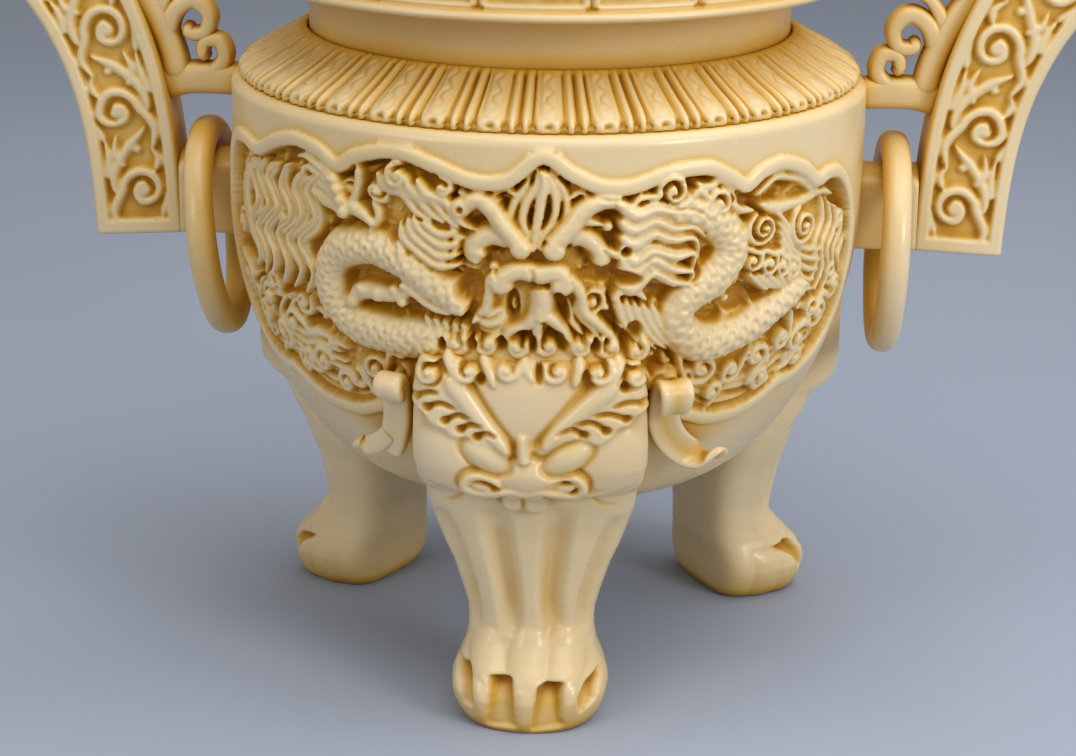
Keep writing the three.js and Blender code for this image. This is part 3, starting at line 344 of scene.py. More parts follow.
def mesh_object(name, body, replaced, material, grids, cap=False):
    """One object from grids of points. Each grid is (points, stain and painted shade, wrap_rows,
    wrap_columns).
    """
    verts, faces, stains_and_shade = [], [], []
    start = 0
    for points, stain_and_shade, wrap_rows, wrap_columns in grids:
        rows, columns = points.shape[:2]
        index = start + np.arange(rows * columns).reshape(rows, columns)
        a = index if wrap_rows else index[:-1]
        below = np.roll(index, -1, axis=0) if wrap_rows else index[1:]
        corner_sets = []
        for block in (a, below):
            right = np.roll(block, -1, axis=1)
            corner_sets.append((block, right) if wrap_columns else (block[:, :-1], right[:, :-1]))
        (p, q), (s, r) = corner_sets
        faces.append(np.stack([p, q, r, s], axis=-1).reshape(-1, 4))
        verts.append(points.reshape(-1, 3))
        stains_and_shade.append(np.broadcast_to(stain_and_shade, (rows, columns)).reshape(-1))
        start += rows * columns
    verts = np.vstack(verts) * MM
    faces = np.vstack(faces)
    mesh = bpy.data.meshes.new(name)
    mesh.vertices.add(len(verts))
    mesh.vertices.foreach_set("co", verts.astype(np.float32).ravel())
    mesh.loops.add(faces.size)
    mesh.loops.foreach_set("vertex_index", faces.astype(np.int32).ravel())
    mesh.polygons.add(len(faces))
    mesh.polygons.foreach_set("loop_start", np.arange(0, faces.size, 4, dtype=np.int32))
    mesh.update(calc_edges=True)
    # The stain attribute holds the wax in the hollows, and in some places painted shade as well
    layer = mesh.attributes.new("stain_and_shade", "FLOAT", "POINT")
    layer.data.foreach_set("value", np.concatenate(stains_and_shade).astype(np.float32))
    work = bmesh.new()
    work.from_mesh(mesh)
    bmesh.ops.remove_doubles(work, verts=work.verts, dist=0.002 * MM)
    if cap:
        edges = [e for e in work.edges if len(e.link_faces) == 1]
        for edge in edges:
            edge.smooth = False
        bmesh.ops.holes_fill(work, edges=edges, sides=0)
    bmesh.ops.recalc_face_normals(work, faces=work.faces)
    for face in work.faces:
        face.smooth = True
    work.to_mesh(mesh)
    work.free()
    obj = bpy.data.objects.new(name, mesh)
    bpy.context.scene.collection.objects.link(obj)
    mesh.materials.append(material)
    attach(obj, body)
    if replaced:
        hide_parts(replaced)
    return obj


def rounded(corners, radius=0.6, spacing=1.2, closed=True):
    """A fine profile from (radius, height) corners, each with its own or the given rounding."""
    count = len(corners)
    points = []
    for i, corner in enumerate(corners):
        here = np.array(corner[:2], float)
        round_here = corner[2] if len(corner) > 2 else radius
        if not closed and i in (0, count - 1):
            points.append([here])
            continue
        before = np.array(corners[i - 1][:2], float)
        after = np.array(corners[(i + 1) % count][:2], float)
        to_before, to_after = before - here, after - here
        reach = min(round_here, 0.48 * np.linalg.norm(to_before), 0.48 * np.linalg.norm(to_after))
        p0 = here + to_before / np.linalg.norm(to_before) * reach
        p2 = here + to_after / np.linalg.norm(to_after) * reach
        t = np.linspace(0, 1, 5)[:, None]
        points.append((1 - t) ** 2 * p0 + 2 * t * (1 - t) * here + t**2 * p2)
    fine = []
    for i, run in enumerate(points):
        fine.extend(run)
        if i + 1 < count or closed:
            a, b = run[-1], points[(i + 1) % count][0]
            n = int(np.linalg.norm(b - a) / spacing)
            fine.extend(a + (b - a) * k / (n + 1) for k in range(1, n + 1))
    return np.array(fine)


def revolve(profile, angles, lift, closed=True):
    """Points of a profile turned about the axis, pushed out along its normal by lift."""
    if closed:
        tangent = np.roll(profile, -1, axis=0) - np.roll(profile, 1, axis=0)
    else:
        tangent = np.gradient(profile, axis=0)
    tangent /= np.linalg.norm(tangent, axis=1)[:, None] + TINY
    normal = np.column_stack([tangent[:, 1], -tangent[:, 0]])
    r = profile[:, :1] + normal[:, :1] * lift
    z = profile[:, 1:] + normal[:, 1:] * lift
    return np.dstack([r * np.cos(angles), r * np.sin(angles), z + 0 * r])


def turned(points, degrees):
    """Points turned about the vessel's axis."""
    a = math.radians(degrees)
    c, s = math.cos(a), math.sin(a)
    return np.dstack([points[..., 0] * c - points[..., 1] * s, points[..., 0] * s + points[..., 1] * c,
                      points[..., 2]])


def swept(path, side, up, half_side, half_up, across, upward, end_share):
    """A bar along a 3-D path, closed by round ends.

    Side and up are its cross directions, half_side and half_up its half sizes there, and across and upward
    its section's points in shares of them.
    """
    share = np.linspace(0, 1, len(path))
    to_end = np.clip(np.minimum(share, 1 - share) / end_share, 0, 1)
    closing = np.sqrt(np.clip(1 - (1 - to_end) ** 2, 0, 1))
    wide = (half_side * closing)[:, None, None] * across[None, :, None]
    thick = (half_up * closing)[:, None, None] * upward[None, :, None]
    return path[:, None, :] + wide * side[:, None, :] + thick * up[:, None, :]


# Materials

def node_tree(name):
    """A new material with only its shader."""
    material = bpy.data.materials.new(name)
    material.use_nodes = True
    tree = material.node_tree
    tree.nodes.clear()
    output = tree.nodes.new("ShaderNodeOutputMaterial")
    shader = tree.nodes.new("ShaderNodeBsdfPrincipled")
    tree.links.new(shader.outputs["BSDF"], output.inputs["Surface"])
    return material, tree, shader


def linear(red, green, blue):
    """A display colour of 0 to 255 as the shader's linear value."""
    def one(value):
        value /= 255
        return value / 12.92 if value <= 0.04045 else ((value + 0.055) / 1.055) ** 2.4
    return one(red), one(green), one(blue), 1


def noise(tree, scale, detail=3, roughness=0.5):
    """Smooth random values that stay with the object."""
    coordinates = tree.nodes.new("ShaderNodeTexCoord")
    texture = tree.nodes.new("ShaderNodeTexNoise")
    texture.inputs["Scale"].default_value = scale
    texture.inputs["Detail"].default_value = detail
    texture.inputs["Roughness"].default_value = roughness
    tree.links.new(coordinates.outputs["Object"], texture.inputs["Vector"])
    return texture.outputs["Fac"]


def ramp(tree, source, stops, colours=False):
    """Maps a value through (place, value) stops."""
    node = tree.nodes.new("ShaderNodeValToRGB")
    elements = node.color_ramp.elements
    while len(elements) < len(stops):
        elements.new(0.5)
    for element, (place, value) in zip(elements, stops):
        element.position = place
        element.color = value if colours else (value, value, value, 1)
    tree.links.new(source, node.inputs["Fac"])
    return node.outputs["Color"]


def combine(tree, operation, first, second):
    """A sum, product or the like of two sockets or numbers."""
    node = tree.nodes.new("ShaderNodeMath")
    node.operation = operation
    node.use_clamp = operation in ("ADD", "MULTIPLY")
    for socket, value in zip(node.inputs, (first, second)):
        if isinstance(value, (int, float)):
            socket.default_value = value
        else:
            tree.links.new(value, socket)
    return node.outputs["Value"]


def mix_colour(tree, factor, first, second):
    """The first colour where the factor is 0 and the second where it is 1."""
    node = tree.nodes.new("ShaderNodeMix")
    node.data_type = "RGBA"
    tree.links.new(factor, node.inputs["Factor"])
    for socket, value in (("A", first), ("B", second)):
        place = next(i for i in node.inputs if i.name == socket and i.type == "RGBA")
        if isinstance(value, tuple):
            place.default_value = value
        else:
            tree.links.new(value, place)
    return next(o for o in node.outputs if o.type == "RGBA")


CREVICE_REACH = 3.2
# How far the painted shade reaches: the resin is toned warmer and darker under overhangs and between parts
PAINTED_SHADE_REACH = 26
SPECK = linear(120, 84, 44)


def openness(tree, reach):
    """How open the surface is to what lies within reach of it."""
    node = tree.nodes.new("ShaderNodeAmbientOcclusion")
    node.samples = 6
    node.inputs["Distance"].default_value = reach * MM
    return node.outputs["AO"]


def ivory(name, pale, mid, amber, dark, gloss=0.21, crevice=0.7):
    """Cast resin with dark wax left in its hollows, and a warmer painted shade under what overhangs it."""
    material, tree, shader = node_tree(name)
    attribute = tree.nodes.new("ShaderNodeAttribute")
    attribute.attribute_name = "stain_and_shade"
    hollow = ramp(tree, openness(tree, CREVICE_REACH), [(0.2, 1), (0.92, 0)])
    # Painted shade: a broad warm darkening where much lies close over the surface
    painted_shade = ramp(tree, openness(tree, PAINTED_SHADE_REACH), [(0.2, 0.45), (0.95, 0)])
    patches = ramp(tree, noise(tree, 55, 2), [(0.35, 0.6), (0.65, 1)])
    cloud = noise(tree, 18, 3)
    body = mix_colour(tree, ramp(tree, cloud, [(0.35, 0), (0.7, 1)]), pale, mid)
    wax_and_shade = combine(tree, "ADD", attribute.outputs["Fac"], combine(tree, "MULTIPLY", hollow, crevice))
    # The wax in the hollows, and on top of it the painted shade
    wax_and_shade = combine(tree, "ADD", combine(tree, "MULTIPLY", wax_and_shade, patches), painted_shade)
    stained_and_shaded = mix_colour(tree, ramp(tree, wax_and_shade, [(0.05, 0), (0.55, 1)]), body, amber)
    deep = mix_colour(tree, ramp(tree, wax_and_shade, [(0.6, 0), (1.0, 1)]), stained_and_shaded, dark)
    grains = tree.nodes.new("ShaderNodeTexVoronoi")
    grains.inputs["Scale"].default_value = 420
    coordinates = tree.nodes.new("ShaderNodeTexCoord")
    tree.links.new(coordinates.outputs["Object"], grains.inputs["Vector"])
    dots = ramp(tree, grains.outputs["Distance"], [(0.07, 1), (0.1, 0)])
    sparse = ramp(tree, noise(tree, 90, 1), [(0.69, 0), (0.71, 1)])
    specks = combine(tree, "MULTIPLY", dots, sparse)
    speckled = mix_colour(tree, specks, deep, SPECK)
    tree.links.new(speckled, shader.inputs["Base Color"])
    sheen = ramp(tree, noise(tree, 120, 3), [(0.3, gloss), (0.75, gloss + 0.16)])
    rough = combine(tree, "ADD", sheen, combine(tree, "MULTIPLY", wax_and_shade, 0.25))
    tree.links.new(rough, shader.inputs["Roughness"])
    shader.inputs["Specular IOR Level"].default_value = 0.45
    shader.inputs["Subsurface Weight"].default_value = 0.14
    shader.inputs["Subsurface Radius"].default_value = (0.9, 0.62, 0.25)
    shader.inputs["Subsurface Scale"].default_value = 2.2 * MM
    bump = tree.nodes.new("ShaderNodeBump")
    bump.inputs["Strength"].default_value = 0.12
    bump.inputs["Distance"].default_value = 0.25 * MM
    tree.links.new(noise(tree, 900, 4, 0.6), bump.inputs["Height"])
    tree.links.new(bump.outputs["Normal"], shader.inputs["Normal"])
    return material


def steel():
    """Brushed steel, for the hidden dowels."""
    material, tree, shader = node_tree("dowel_steel")
    shader.inputs["Metallic"].default_value = 1
    greys = [(0.3, linear(120, 124, 128)), (0.7, linear(165, 168, 172))]
    tree.links.new(ramp(tree, noise(tree, 300, 4), greys, True), shader.inputs["Base Color"])
    tree.links.new(ramp(tree, noise(tree, 500, 2), [(0.3, 0.3), (0.7, 0.5)]), shader.inputs["Roughness"])
    return material


CARVED = ivory("ivory_carved", linear(236, 216, 174), linear(224, 200, 152), linear(220, 174, 60),
               linear(192, 136, 26))
SMOOTH = ivory("ivory_smooth", linear(236, 215, 174), linear(222, 197, 150), linear(216, 170, 62),
               linear(186, 130, 26), gloss=0.17, crevice=0.55)


# Bowl

def bezier(a, b, c, d, t):
    """Points of a cubic curve with two end points and two handles."""
    t = t[:, None]
    return (1 - t) ** 3 * a + 3 * t * (1 - t) ** 2 * b + 3 * t**2 * (1 - t) * c + t**3 * d


def belly(offset=0.0, steps=400):
    """The bowl's side as radius and height, from the base's edge to the band."""
    a = np.array([BASE_RADIUS, BASE_Z], float)
    b = np.array([BASE_RADIUS + BELLY_SWELL * (BELLY_RADIUS - BASE_RADIUS), BASE_Z + 4], float)
    c = np.array([BELLY_RADIUS, BAND_BOTTOM_Z - BELLY_FULLNESS], float)
    d = np.array([BELLY_RADIUS, BAND_BOTTOM_Z], float)
    curve = bezier(a, b, c, d, np.linspace(0, 1, steps))
    tangent = directions(curve)
    return curve + offset * np.column_stack([tangent[:, 1], -tangent[:, 0]])


BELLY_LINE = belly()


def belly_radius(height):
    """The bowl's plain outer radius at a height."""
    return np.interp(height, BELLY_LINE[:, 1], BELLY_LINE[:, 0])


FRAME_TOP = [
    (-78, 92), (-76.5, 98), (-73, 102.2), (-67, 103.4), (-61, 102.6), (-58, 103.2), (-53, 105.4),
    (-47, 106.8), (-41, 106.0), (-36.2, 103.9), (-32, 106.2), (-24, 107.9), (-17, 106.2), (-10, 103.9),
    (-4, 104.4), (1.8, 108.6), (7, 105.6), (12, 103.4), (17, 103.2), (24, 105.2), (31, 105.6), (36, 103.4),
    (39.3, 101.6), (43, 103.6), (48, 104.4), (54, 102.4), (58, 99.7), (62, 100.3), (66, 99.6), (70, 96.6),
    (73, 91.5), (74.5, 85),
]
FRAME_REST = [
    (74.5, 78), (73.5, 71), (70, 65.5), (66, 63.2), (61, 61.6), (56, 61.4), (52, 59.1), (46, 57.3),
    (38, 57.3), (31, 59.3), (25, 58.8), (18, 56.8), (9, 55.8), (0, 55.8), (-9, 55.8), (-18, 56.8),
    (-25, 58.8), (-31, 59.3),
    (-38, 57.3), (-46, 57.3), (-52, 59.1), (-57, 61.4), (-62, 61.2), (-68, 63), (-73, 66.5), (-76.5, 72),
    (-78, 78), (-78.5, 85),
]


def dragon_panel():
    """The bowl's carving: u round the belly from the middle, v the height. All of it is inside the frame."""
    r = Relief(-82, 82, 52, 112)
    outline = FRAME_TOP + FRAME_REST
    field = r.inside(spline(outline, 1.0, closed=True))
    gu, gv = np.meshgrid(r.u, r.v)
    rough = 0.35 * np.sin(gu * 0.9 + 1.3 * np.sin(gv * 0.7)) * np.sin(gv * 1.1 + np.sin(gu * 0.5))
    r.h = GROUND + rough
    filling(r)
    clouds(r)
    foot_lines(r)
    left_side(r)
    right_side(r)
    r.warp(1.5, 2.4, 21)
    beast_face(r)
    r.warp(0.5, 1.6, 22)
    beads(r)
    r.roughen(0.03, 0.12, -0.6, 23)
    r.h = np.where(field, r.h, 0)
    border(r, outline)
    return r


def filling(r):
    """Low curls and waves that cover the ground."""
    seeds = np.random.default_rng(7)
    for _ in range(330):
        u, v = seeds.uniform(-76, 74), seeds.uniform(57, 106)
        a = seeds.uniform(0, 2 * np.pi)
        n, bend = seeds.uniform(2.5, 5), seeds.uniform(-1.6, 1.6)
        c, s = np.cos(a), np.sin(a)
        r.ridge([(u, v), (u + n * c - bend * s, v + n * s + bend * c), (u + 2 * n * c, v + 2 * n * s)],
                (2.4, 1.2), (GROUND + 2.3, GROUND + 1.5), ends=(0.2, 0.4))


def beads(r):
    """Tiny round beads left in the hollows."""
    seeds = np.random.default_rng(17)
    for _ in range(420):
        u, v = seeds.uniform(-74, 72), seeds.uniform(62, 104)
        size = seeds.uniform(0.35, 0.65)
        here = sample(r, r.h, np.array([u]), np.array([v]))[0]
        if here < -0.8:
            r.dome(u, v, size, size, here + size)


def foot_lines(r):
    """Long flowing lines above the lower rim, and curls over them."""
    seeds = np.random.default_rng(12)
    rim = np.array(FRAME_REST)
    for row in range(4):
        for low, high in ((20, 70), (-74, -20)):
            run = rim[(rim[:, 0] > low) & (rim[:, 0] < high)]
            height = run[:, 1] + 2.5 + 2.1 * row + seeds.uniform(-0.5, 0.5, len(run))
            line = np.column_stack([run[:, 0] * (1 - 0.012 * row), height])
            r.ridge(line, (2.5, 2.1), (-0.4 - 0.15 * row, -0.7), ends=(0.1, 0.1))
    for u, v, size in [(27, 66.6, 2.6), (33.4, 68.6, 2.8), (40.2, 66.8, 2.5), (46.4, 68.6, 2.9),
                       (52.6, 70.8, 2.6), (58.6, 69.2, 2.8), (64.4, 73.4, 2.8), (69, 77.6, 2.4),
                       (37, 63, 2.2), (49.4, 64, 2.3), (60.4, 64.8, 2.2), (-24, 63.4, 2.2), (-31, 62.8, 2.3),
                       (-39.6, 62.2, 2.4), (-48.8, 65.4, 2.6),
                       (-57.4, 68.6, 2.7), (-64.6, 70.4, 2.6), (-70.8, 76.6, 2.6), (-60.4, 74.8, 2.4),
                       (-52.2, 71.6, 2.4)]:
        hand = 1 if seeds.uniform() < 0.5 else -1
        start = seeds.uniform(0, 360)
        a = math.radians(start - hand * 40)
        across, up = size * 2.2 * math.cos(a), size * 2.2 * math.sin(a)
        r.curl(u, v, size, 1.2, start, 2.1, 0.2, hand=hand,
               tail=[(u + across - 1.2, v + up), (u + 0.75 * across, v + 0.75 * up + 0.8)])


def border(r, outline):
    """The raised bead round the panel."""
    area, gap, side, _, _ = r.near(spline(outline, closed=True), 3.2)
    half = FRAME_WIDTH / 2
    level = FRAME_PROUD * np.clip(1 - (gap / half) ** 2, 0, 1) ** 0.3
    r.h[area] = np.where(gap < half, np.maximum(r.h[area], level), r.h[area])
    r.h[area] -= 0.35 * np.clip(1 - np.abs(gap - half - 0.5) / 0.5, 0, 1) * (side < 0)


def beast_face(r):
    """The horned face in the middle, down to the knobs over the front leg."""
    r.dome(1, 84, 14, 11, -0.6, base=GROUND, power=0.6)
    r.dome(0, 74, 17, 6.5, -0.8, base=GROUND, power=0.6)
    # Flame of hair from the cusp down to the brow
    for x0, x1, x2, w, t in [(-1.2, -3.4, -1.6, 2.0, 0.2), (0.6, -1.4, -0.8, 2.0, 0.8),
                             (1.8, 1.0, 0.4, 2.2, 1.3), (3.0, 3.6, 1.6, 2.0, 0.9),
                             (4.4, 5.6, 2.9, 2.0, 0.3)]:
        r.ridge([(x0 * 0.5 + 0.9, 106.6), (x0 + 0.5, 103.8), (x1 + 0.6, 100.4), (x1, 97.4), (x2 + 0.3, 94.6),
                 (x2 * 0.7 + 0.3, 91.8)], (w, w * 0.75), (t, t - 0.2), ends=(0.3, 0.25))
    # Horn bars that meet over the nose
    r.ridge([(-12.2, 99.2), (-9.2, 100.9), (-6.6, 99.2), (-4.4, 96.2), (-1.4, 92.6)], (3.6, 3.6), (1.2, 2.2),
            ends=(0.04, 0.04))
    r.dome(-12.2, 99.2, 2.0, 1.9, 1.7)
    r.pit(-12.1, 99.0, 0.7, 0.7, 0.1)
    r.dome(-1.7, 92.6, 2.0, 1.8, 2.4)
    r.ridge([(15.6, 100.9), (12.0, 101.0), (9.0, 99.4), (6.6, 96.2), (3.4, 92.7)], (3.6, 3.8), (1.2, 2.2),
            ends=(0.05, 0.04))
    r.dome(4.0, 92.4, 2.1, 1.8, 2.4)
    r.ridge([(6.0, 96.5), (9.0, 97.4), (12.6, 96.6)], (2.2, 1.4), (1.0, 0.4))
    r.dome(13.2, 96.4, 1.0, 1.0, 0.9)
    r.ridge([(-2.2, 101.8), (-4.4, 102.8), (-6.6, 101.6), (-4.8, 100.6)], (1.6, 1.1), (0.2, 0))
    r.ridge([(6.6, 101.4), (8.4, 102.6), (10.2, 101.2)], (1.6, 1.1), (0.2, 0))
    # Ears
    r.ridge([(-3.4, 93.6), (-6.6, 94.6), (-9.4, 92.8), (-9.0, 89.6)], (4.4, 5.6), (0.9, 1.0),
            ends=(0.1, 0.16))
    r.groove([(-4.6, 92.2), (-7.2, 92.0), (-8.0, 89.6)], (1.4, 1.6), 1.5)
    r.dome(-8.6, 91.4, 1.1, 1.0, 1.2)
    r.ridge([(6.4, 94.6), (9.4, 94.4), (11.8, 91.8), (11.8, 89.4)], (4.0, 4.6), (0.9, 1.1), ends=(0.1, 0.12))
    r.groove([(7.6, 92.8), (9.8, 91.4), (10.0, 89.4)], (1.2, 1.4), 1.3)
    # Brow roll over the nose
    r.ridge([(-5.6, 86.8), (-2.2, 88.8), (1.6, 88.2), (4.6, 88.7), (6.6, 86.8)], (3.6, 3.6), (2.3, 2.3),
            ends=(0.12, 0.12))
    r.dome(-4.9, 86.4, 2.2, 2.0, 2.5)
    r.dome(5.4, 86.3, 2.2, 2.0, 2.5)
    r.groove([(0.2, 89.8), (0.6, 87.6), (0.2, 85.8)], (1.3, 1.0), 0.8)
    # Cheek rims
    r.ridge([(-6.0, 88.4), (-7.2, 84.6), (-7.8, 81.4), (-10.2, 78.6)], (2.4, 1.9), (1.8, 0.9),
            ends=(0.15, 0.25))
    r.ridge([(6.8, 88.4), (8.6, 84.8), (9.4, 81.6), (12.0, 79.0), (14.6, 76.0), (15.4, 72.6)], (2.4, 1.8),
            (1.8, 0.8), ends=(0.15, 0.2))
    # Nose bridge and its branches
    r.ridge([(1.8, 86.0), (2.0, 83.0), (1.6, 80.0)], (4.8, 4.2), (1.9, 2.2), ends=(0.1, 0.1))
    r.ridge([(1.4, 81.2), (-0.6, 78.8), (-3.4, 77.6), (-4.4, 75.4)], (2.6, 1.7), (2.0, 1.0), ends=(0.1, 0.2))
    r.ridge([(2.2, 81.2), (5.0, 79.2), (6.6, 76.4), (7.6, 72.6)], (2.8, 1.8), (2.0, 1.0), ends=(0.1, 0.2))
    r.ridge([(1.4, 80.0), (1.2, 76.6), (1.4, 73.6)], (2.2, 1.8), (1.8, 1.0), ends=(0.1, 0.2))
    # Cheeks
    r.dome(-6.6, 79.2, 3.6, 3.4, 1.0, angle=20)
    r.groove([(-9.6, 80.6), (-7.0, 79.6), (-4.6, 80.8)], 1.0, 0.7)
    r.groove([(-10.0, 78.6), (-7.4, 77.6), (-5.0, 78.4)], 0.9, 0.6)
    r.ridge([(8.0, 84.4), (8.8, 81.0), (11.2, 77.8), (12.6, 75.0)], (2.0, 1.4), (0.7, 0.5))
    r.ridge([(6.4, 83.8), (7.2, 80.2), (9.4, 76.8)], (1.8, 1.3), (0.5, 0.4))
    # Eye slits and nostrils
    r.pit(-3.0, 82.2, 1.25, 3.1, -3.9, angle=6)
    r.dome(-2.9, 82.4, 0.6, 1.3, -1.2)
    r.pit(5.6, 82.4, 1.2, 3.2, -3.8, angle=18)
    r.pit(-1.0, 76.5, 1.6, 1.7, -3.9)
    r.pit(4.4, 76.7, 1.7, 1.6, -3.9)
    # Ball in a socket under the left cheek
    r.pit(-5.4, 73.6, 3.2, 2.6, -3.2)
    r.ridge([(-8.4, 75.2), (-5.4, 76.6), (-2.8, 75.0), (-2.8, 72.2)], 1.4, 0.7)
    r.ridge([(-8.6, 74.8), (-8.2, 71.8), (-5.6, 70.6)], 1.5, 0.6)
    r.dome(-5.1, 73.8, 1.35, 1.35, -0.2)
    # Beads between the folds
    for u, v, size in [(8.0, 74.9, 0.85), (10.5, 74.2, 0.7), (12.6, 75.0, 0.7), (13.4, 81.9, 0.8),
                       (11.0, 82.9, 1.0), (-12.0, 94.0, 0.7), (-13.2, 93.2, 0.6), (-6.2, 89.2, 0.9),
                       (16.2, 78.4, 0.7)]:
        r.dome(u, v, size, size, -0.4 + size)
    r.ridge([(9.4, 84.0), (10.6, 85.0), (12.6, 84.6), (13.0, 82.6), (11.6, 81.2), (9.8, 81.6)], 1.2, 0.0)
    r.pit(13.4, 80.5, 1.3, 1.0, -3.6)
    r.pit(13.5, 87.6, 6.0, 1.5, -3.8, angle=-6)
    r.pit(-10.5, 85.2, 2.6, 3.0, -3.6, angle=-20)
    # Folds from the cheeks down to the mask
    for x, bend, w in [(-10.4, -1.4, 1.8), (-8.0, -0.6, 1.6), (9.8, 0.6, 1.7), (12.4, 0.8, 1.7),
                       (15.2, 1.2, 1.8)]:
        r.ridge([(x, 76.4), (x + bend * 0.4, 73.6), (x + bend, 70.0), (x + bend, 67)], (w, w * 1.3),
                (0.6, 1.2))
    # Beard strands on the right
    for k in range(5):
        x = 15.2 + 1.5 * k
        r.ridge([(x, 84.2 - 0.5 * k), (x + 0.4, 81.6), (x + 1.8, 78.4), (x + 4.2, 75.4),
                 (x + 6.6 + 0.4 * k, 73.0 - 0.2 * k)], (2.0, 1.3), (0.9 - 0.1 * k, 0.2), ends=(0.15, 0.35))
    r.ridge([(14.4, 83.2), (15.8, 84.8), (18.6, 84.6), (20.6, 83.0)], 1.7, 0.7)
    for k in range(5):
        x = -18.4 + 1.7 * k
        r.ridge([(x - 0.6, 79.6 - 0.3 * k), (x, 77.2), (x - 0.9, 74.6)], (1.8, 1.5), 0.5, ends=(0.25, 0.25))
    # Knobs and gaps over the leg
    r.ridge([(-20, 71.0), (-10, 72.0), (0, 72.4), (10, 72.0), (20, 71.0)], 5.6, 1.3, base=GROUND,
            ends=(0.04, 0.04))
    for u, v, size, start, hand in [(-18.2, 73.8, 2.4, 100, 1), (-13.0, 74.8, 2.2, 60, -1),
                                    (-7.4, 75.2, 2.3, 140, 1), (-2.2, 75.0, 2.0, 40, -1),
                                    (3.2, 75.4, 2.3, 120, 1), (8.8, 75.2, 2.2, 60, -1),
                                    (14.2, 74.8, 2.4, 120, 1), (19.0, 73.8, 2.2, 70, -1)]:
        r.curl(u, v, size, 1.0, start, 1.9, 1.7, hand=hand, rise=0.4)
    for u, v, ru, rv in [(-15.6, 74.6, 0.8, 1.3), (-10.2, 75.2, 0.9, 1.4), (-4.8, 75.4, 0.8, 1.3),
                         (0.6, 75.6, 0.7, 1.6), (6.0, 75.4, 0.9, 1.3), (11.6, 75.2, 0.9, 1.4),
                         (16.8, 74.4, 0.8, 1.2), (18.6, 77.4, 1.5, 2.0)]:
        r.pit(u, v, ru, rv, -2.6)
    r.curl(-19.2, 66.4, 2.9, 1.1, 200, 1.9, 0.8, hand=-1, tail=[(-13.2, 66.2), (-14.6, 69.4), (-18.0, 70.6)])
    r.curl(19.4, 67.4, 2.9, 1.1, -20, 1.9, 0.8, hand=1, tail=[(14.2, 67.6), (16.0, 70.6), (18.6, 71.2)])
    for k in range(6):
        u = -22 + 9 * k
        r.ridge([(u - 3, 63.5), (u, 65.8), (u + 3, 63.4)], 2.2, 0.0)


def scaled_band(r, points, width, top, size, depth, taper):
    """A long rounded body with scales."""
    r.ridge(points, (width * taper[0], width * taper[1]), top, base=GROUND + 0.4, ends=(0.04, 0.04),
            power=0.42)
    r.scales(points, width, size, depth, taper)


